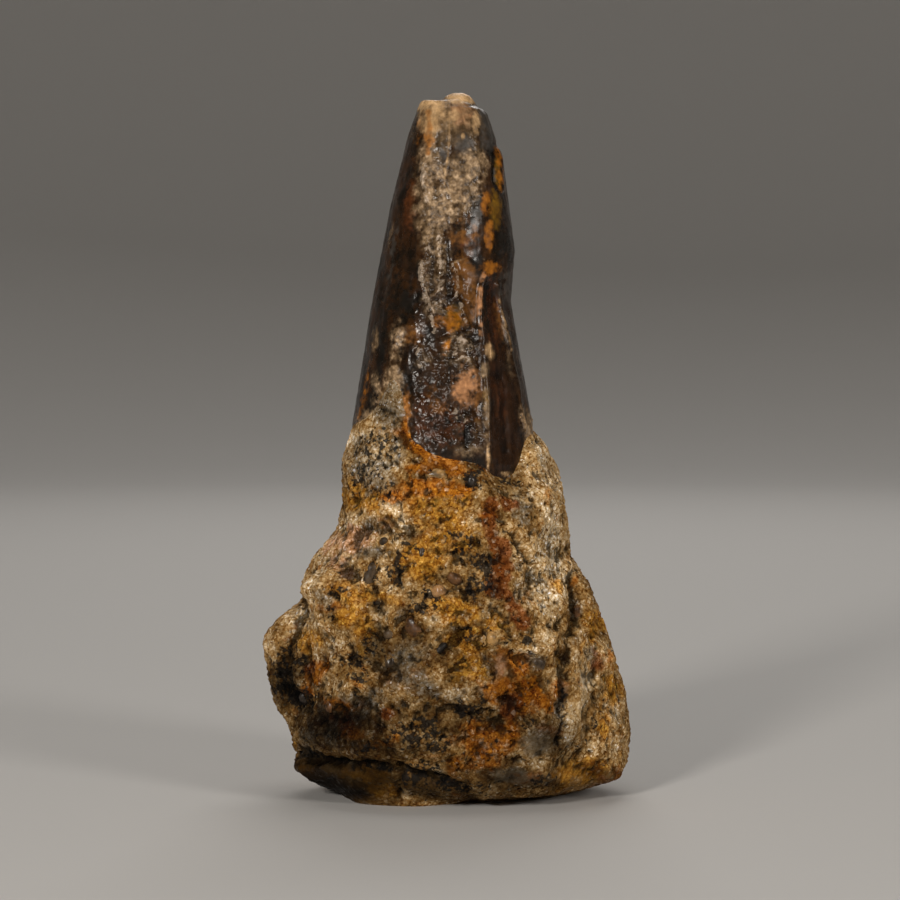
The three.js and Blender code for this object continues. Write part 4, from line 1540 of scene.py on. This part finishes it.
def cap_heights(radii, angles):
    """Heights of the broken end under a set of points, measured from above."""
    heights = np.zeros(radii.shape)
    for (row, column), radius in np.ndenumerate(radii):
        angle = angles[column]
        start = Vector((radius * math.cos(angle), radius * math.sin(angle), 2 * FAR_OUT))
        place = tooth_surface.ray_cast(start, DOWN)[0]
        heights[row, column] = place.z if place is not None else CROWN_EDGE
    return heights


def tooth_points(angles):
    """The tooth's skin before it is sculpted."""
    heights = np.arange(ROOT_END, CROWN_EDGE, TOOTH_LEVEL)
    radii = blur(tooth_radii(heights, angles), TOOTH_SMOOTHING)
    root_heights = np.linspace(ROOT_END, CROWN_START, TOOTH_ROWS["root"], endpoint=False)
    crown_heights = np.linspace(CROWN_START, CROWN_EDGE, TOOTH_ROWS["crown"])
    side_heights = np.concatenate([root_heights, crown_heights])
    sides = np.stack([np.interp(side_heights, heights, each) for each in radii.T], axis=-1)
    shares = np.arange(TOOTH_ROWS["cap"], 0, -1) / (TOOTH_ROWS["cap"] + 1)
    cap_radii = shares[:, None] * sides[-1]
    all_heights = np.tile(side_heights[:, None], (1, TOOTH_COLUMNS))
    all_heights = np.concatenate([all_heights, cap_heights(cap_radii, angles)])
    points = skin_points(np.concatenate([sides, cap_radii]), all_heights, angles)
    end = TOOTH_ROWS["root"] + TOOTH_ROWS["crown"] - END_ROWS
    points[end:] = blur(points, END_SMOOTHING)[end:]
    return move_by_strokes(points, TOOTH_STROKES)


def tooth_skin(relief, material):
    """The tooth: its plain root in the stone, the crown, and the snapped-off end with its crumb."""
    angles = angles_of(TOOTH_COLUMNS)
    points = tooth_points(angles)
    dice = np.random.default_rng(STAIN_SEED + 1)
    drawn = (TOOTH_STAINS, TOOTH_LINES, TOOTH_BACK_STAINS)
    values = stains_of(points, *drawn, STAINED_HEIGHTS, dice)
    bar = np.full(points.shape[:2], GRAIN_RADIUS)
    values["flow"] = skin_points(bar, points[..., 2] * GRAIN_LENGTHWISE, angles)
    collar = smooth_step(*COLLAR_CRUST, points[..., 2])
    behind = 1 - facing_of(normals_of(points))
    values["crust"] = np.maximum(values["crust"], collar * behind)
    values["haze"] = np.maximum(values["haze"], CRUST_HAZE * values["crust"])
    top = tooth_surface.ray_cast(Vector((0, 0, 2 * FAR_OUT)), DOWN)[0]
    skin = skin_mesh("tooth_skin", points, [(0, 0, ROOT_END), tuple(top)], values)
    shaping = (relief, CROWN_RELIEF, material, TOOTH_OUTLINE, TOOTH_HOLLOW)
    mesh = sculpted("tooth_enamel", skin, points.shape, *shaping)
    sandy = smooth_step(*SANDY_CRUST, np.maximum(values["crust"], values["cream"]))
    sandy = sandy * smooth_step(*SANDY_BELOW, points[..., 2])
    rows = np.arange(points.shape[0])[:, None]
    write_field(mesh, "cover", np.where(rows > TOOTH_ROWS["root"], sandy, 0))
    return mesh


def contact_heights(rim, heights, crown, angles):
    """Heights at which the stone meets the crown: the drawn line in front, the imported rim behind."""
    line_columns, line_rows = np.array(CONTACT_LINE, float).T
    drawn = rim.copy()
    for _ in range(CONTACT_ROUNDS):
        radii = np.array([np.interp(z, heights, crown[:, c]) for c, z in enumerate(drawn)])
        columns, rows = pixels_of(skin_points(radii, drawn, angles))
        drawn = drawn + (rows - np.interp(columns, line_columns, line_rows)) * PICTURE_SPAN / PICTURE
    in_front = smooth_step(*FRONT_SIDE, -np.sin(angles))
    waves = sum(strength * np.sin(count * angles + start) for count, start, strength in RIM_WAVES)
    return in_front * drawn + (1 - in_front) * (rim + RIM_WAVE * waves)


def stone_points(crown_surface, highest):
    """The stone's skin before it is sculpted, its rim, its thickness outside the tooth, and its top."""
    angles = angles_of(STONE_COLUMNS)
    heights = np.arange(LOWEST_LEVEL, highest + CRUST_RISE, STONE_LEVEL)
    radii = radii_of(surface_of(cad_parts["matrix"].data), angles, heights)
    crown = np.nan_to_num(radii_of(crown_surface, angles, heights), nan=0.0)
    outside = np.nan_to_num(radii, nan=-1) > crown
    rim = heights[np.argmax(np.cumsum(outside, axis=0), axis=0)]
    rim = blur(np.tile(contact_heights(rim, heights, crown, angles), (3, 1)), STONE_SMOOTHING)[1]
    below = rim - heights[:, None]
    slope = RIM_SLOPE + (LEFT_RIM_SLOPE - RIM_SLOPE) * smooth_step(*LEFT_SIDE, np.cos(angles))
    depth = np.maximum(below, 0)
    thickest = crown + slope * depth + RIM_CURVE * depth**2
    covered = np.maximum(np.nan_to_num(radii, nan=0.0), crown + CRUST_THICKNESS)
    radii = np.where(below > 0, np.minimum(covered, thickest), crown + INWARD_SLOPE * below)
    radii = blur(radii, STONE_SMOOTHING)
    sides = np.zeros((STONE_ROWS["side"], STONE_COLUMNS, 2))
    thickness = np.full(STONE_SHAPE[:2], THICK)
    for column in range(STONE_COLUMNS):
        kept = heights < rim[column] + RIM_OVERLAP
        profile = respaced(radii[kept, column], heights[kept], STONE_ROWS["side"])
        sides[:, column] = np.stack(profile, axis=-1)
        inner = np.interp(profile[1], heights, crown[:, column])
        thickness[STONE_ROWS["foot"] : -STONE_ROWS["top"], column] = profile[0] - inner
    sides[0, :, 1] = 0
    foot_shares = np.arange(1, STONE_ROWS["foot"] + 1) / (STONE_ROWS["foot"] + 1)
    foot_middle = np.zeros(2)
    top_shares = np.arange(STONE_ROWS["top"], 0, -1) / (STONE_ROWS["top"] + 1)
    top_middle = np.array([0, np.mean(sides[-1, :, 1])])
    foot = foot_middle + foot_shares[:, None, None] * (sides[0] - foot_middle)
    top = top_middle + top_shares[:, None, None] * (sides[-1] - top_middle)
    profile = np.concatenate([foot, sides, top])
    points = skin_points(profile[..., 0], profile[..., 1], angles)
    points = move_by_strokes(points, STONE_STROKES)
    points[..., 2] = np.maximum(points[..., 2], 0)
    points[: STONE_ROWS["foot"] + 1, :, 2] = 0
    return points, rim, thickness, float(top_middle[1])


def stone_skin(crown_surface, relief, material):
    """The lump of sandstone, down to its flat foot and up to the collar round the crown."""
    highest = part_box("matrix")[1].z
    points, rim, thickness, top = stone_points(crown_surface, highest)
    dice = np.random.default_rng(STAIN_SEED)
    values = stains_of(points, STONE_STAINS, STONE_LINES, STONE_BACK_STAINS, (0, highest), dice)
    values["rough"] = 1 - SMOOTHED * np.minimum(values["smooth"], 1)
    shown = smooth_step(0, RELIEF_MARGIN, points[..., 2])
    shown *= faded(smooth_step(0, RELIEF_MARGIN, rim - points[..., 2]), RIM_RELIEF)
    values["relief"] = shown * faded(smooth_step(0, THICK, thickness), THIN_RELIEF)
    skin = skin_mesh("sandstone_skin", points, [(0, 0, 0), (0, 0, top)], values)
    shaping = (relief, STONE_RELIEF, material, STONE_OUTLINE, STONE_HOLLOW)
    mesh = sculpted("sandstone", skin, points.shape, *shaping)
    set_cover(mesh, points, values["rough"])
    return mesh


def set_cover(mesh, points, rough):
    """Where sand lies on the stone: little where it is smooth, none on a granule or out of sight."""
    place = np.arange(points.shape[0])[:, None]
    first = STONE_ROWS["foot"] + 2
    shows = (place > first) & (place < STONE_ROWS["foot"] + STONE_ROWS["side"])
    cover = np.where(shows, rough, 0.0)
    columns, rows = pixels_of(points)
    facing = facing_of(normals_of(points))
    for column, row, wide, high, _, turn, _ in (*CLEAR_GRANULES, *DARK_GRANULES):
        away = ellipse_distance(columns, rows, column, row, wide, high, turn)
        cover = cover * (1 - facing * smooth_step(*GRANULE_BARE, away))
    write_field(mesh, "cover", cover)


def grain_map(mesh):
    """A map that gives each grain a small square of its own."""
    grain = np.zeros(len(mesh.vertices), np.int32)
    mesh.attributes["grain"].data.foreach_get("value", grain)
    corners, starts, sizes = corners_of(mesh)
    corner = np.arange(len(corners)) - np.repeat(starts, sizes)
    side = math.ceil(math.sqrt(grain.max() + 1))
    square = np.stack([grain[corners] % side, grain[corners] // side], axis=-1)
    low, high = MAP_MARGIN, 1 - MAP_MARGIN
    inset = np.array([(low, low), (high, low), (high, high), (low, high)])[corner]
    layer = mesh.uv_layers.get("OFBake") or mesh.uv_layers.new(name="OFBake")
    layer.data.foreach_set("uv", ((square + inset) / side).astype(np.float32).ravel())


def sand_mesh(name, ground, tree, terms, material):
    values = dict(zip(SAND_TERMS, terms))
    mesh = made_mesh(name, ground, tree, {**values, "Material": material})
    grain_map(mesh)
    return mesh


def granule_mesh(name, spots, tree, material):
    """Pebbles at a list of spots: place, half sizes, turn, tint."""
    places, *others = zip(*spots)
    cloud = bpy.data.meshes.new(name + "_spots")
    cloud.from_pydata(places, [], [])
    for key, vectors in zip(("reach", "turn", "tint"), others):
        attribute = cloud.attributes.new(key, "FLOAT_VECTOR", "POINT")
        attribute.data.foreach_set("vector", np.array(vectors, np.float32).ravel())
    values = {key: size * MM for key, size in GRANULE_DENTS.items()}
    mesh = made_mesh(name, cloud, tree, {**values, "Material": material})
    mesh.shade_smooth()
    grain_map(mesh)
    return mesh


def granule_spots(surface, drawn, loose, ground, dice):
    """Spots for drawn pebbles on the face and loose ones on the unseen sides."""
    spots = []
    pixel = PICTURE_SPAN / PICTURE
    shown = math.sqrt(1 - GRANULE_SUNK**2)  # the share of a granule's width that stays in sight
    for column, row, wide, high, deep, turn, tint in drawn:
        place, normal = point_under(surface, column, row)
        reach = (wide * pixel / shown, deep * pixel, high * pixel / shown)
        sunk = place - normal * (deep * pixel * GRANULE_SUNK)
        spots.append((sunk, reach, (0, math.radians(turn), 0), GRANULE_TINTS[tint]))
    tints = sorted({each[-1] for each in drawn})
    for _ in range(loose):
        place, outward = ground[int(dice.integers(len(ground)))]
        reach = dice.uniform(*GRANULE_SIZES, 3)
        turn = dice.uniform(0, 2 * math.pi, 3)
        sunk = place - outward * (LOOSE_SUNK * reach.mean())
        tint = GRANULE_TINTS[tints[int(dice.integers(len(tints)))]]
        spots.append((Vector(sunk), tuple(reach), tuple(turn), tint))
    return spots


def unseen_ground(mesh):
    """Places and normals on the sides of the stone that the picture doesn't show."""
    points = positions_of(mesh)[:-2].reshape(STONE_SHAPE)
    normals = normals_of(points)
    rows = np.arange(STONE_SHAPE[0])[:, None]
    low = STONE_ROWS["foot"] + LOOSE_ROWS[0]
    high = STONE_ROWS["foot"] + STONE_ROWS["side"] - LOOSE_ROWS[1]
    chosen = (rows > low) & (rows < high) & (facing_of(normals) < 0.5)
    return list(zip(points[chosen], normals[chosen]))


def put(name, mesh, node):
    """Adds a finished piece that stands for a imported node."""
    piece = link(name, mesh)
    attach(piece, "root")
    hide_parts(node)


make_camera()
make_floor()
make_lights()

tooth_surface = surface_of(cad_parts["tooth"].data)
sand_colour = sand_colour_group()
grain_cells = grain_cells_group()
sandstone = stone_material(sand_colour, grain_cells)
sand_grains = sand_material(sand_colour)
sand = sand_tree()
granules = granule_tree()

tooth = tooth_skin(crown_relief_tree(), enamel_material(grain_cells))
stone = stone_skin(surface_of(tooth), stone_relief_tree(), sandstone)
put("sandstone_lump", stone, "matrix")
put("tooth_enamel", tooth, "tooth")
for size_name, terms in SAND.items():
    grains = sand_mesh("sand_" + size_name, stone, sand, terms, sand_grains)
    put("sand_" + size_name, grains, "matrix")
crust = sand_mesh("sand_on_tooth", tooth, sand, SAND["fine"], sand_grains)
put("sand_on_tooth", crust, "tooth")

granule_dice = np.random.default_rng(GRANULE_SEED)
stone_surface = surface_of(stone)
ground = unseen_ground(stone)
for name, drawn, loose, clearness in (
    ("clear", CLEAR_GRANULES, CLEAR_LOOSE, QUARTZ_CLEARNESS),
    ("dark", DARK_GRANULES, DARK_LOOSE, 0.0),
):
    spots = granule_spots(stone_surface, drawn, loose, ground, granule_dice)
    material = granule_material(name + "_quartz", clearness)
    pebbles = granule_mesh(name + "_granules", spots, granules, material)
    put(name + "_granules", pebbles, "matrix")

visual_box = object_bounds()
boxes = {"cad": cad_box, "visual": visual_box}
{key: [list(corner) for corner in box] for key, box in boxes.items()}
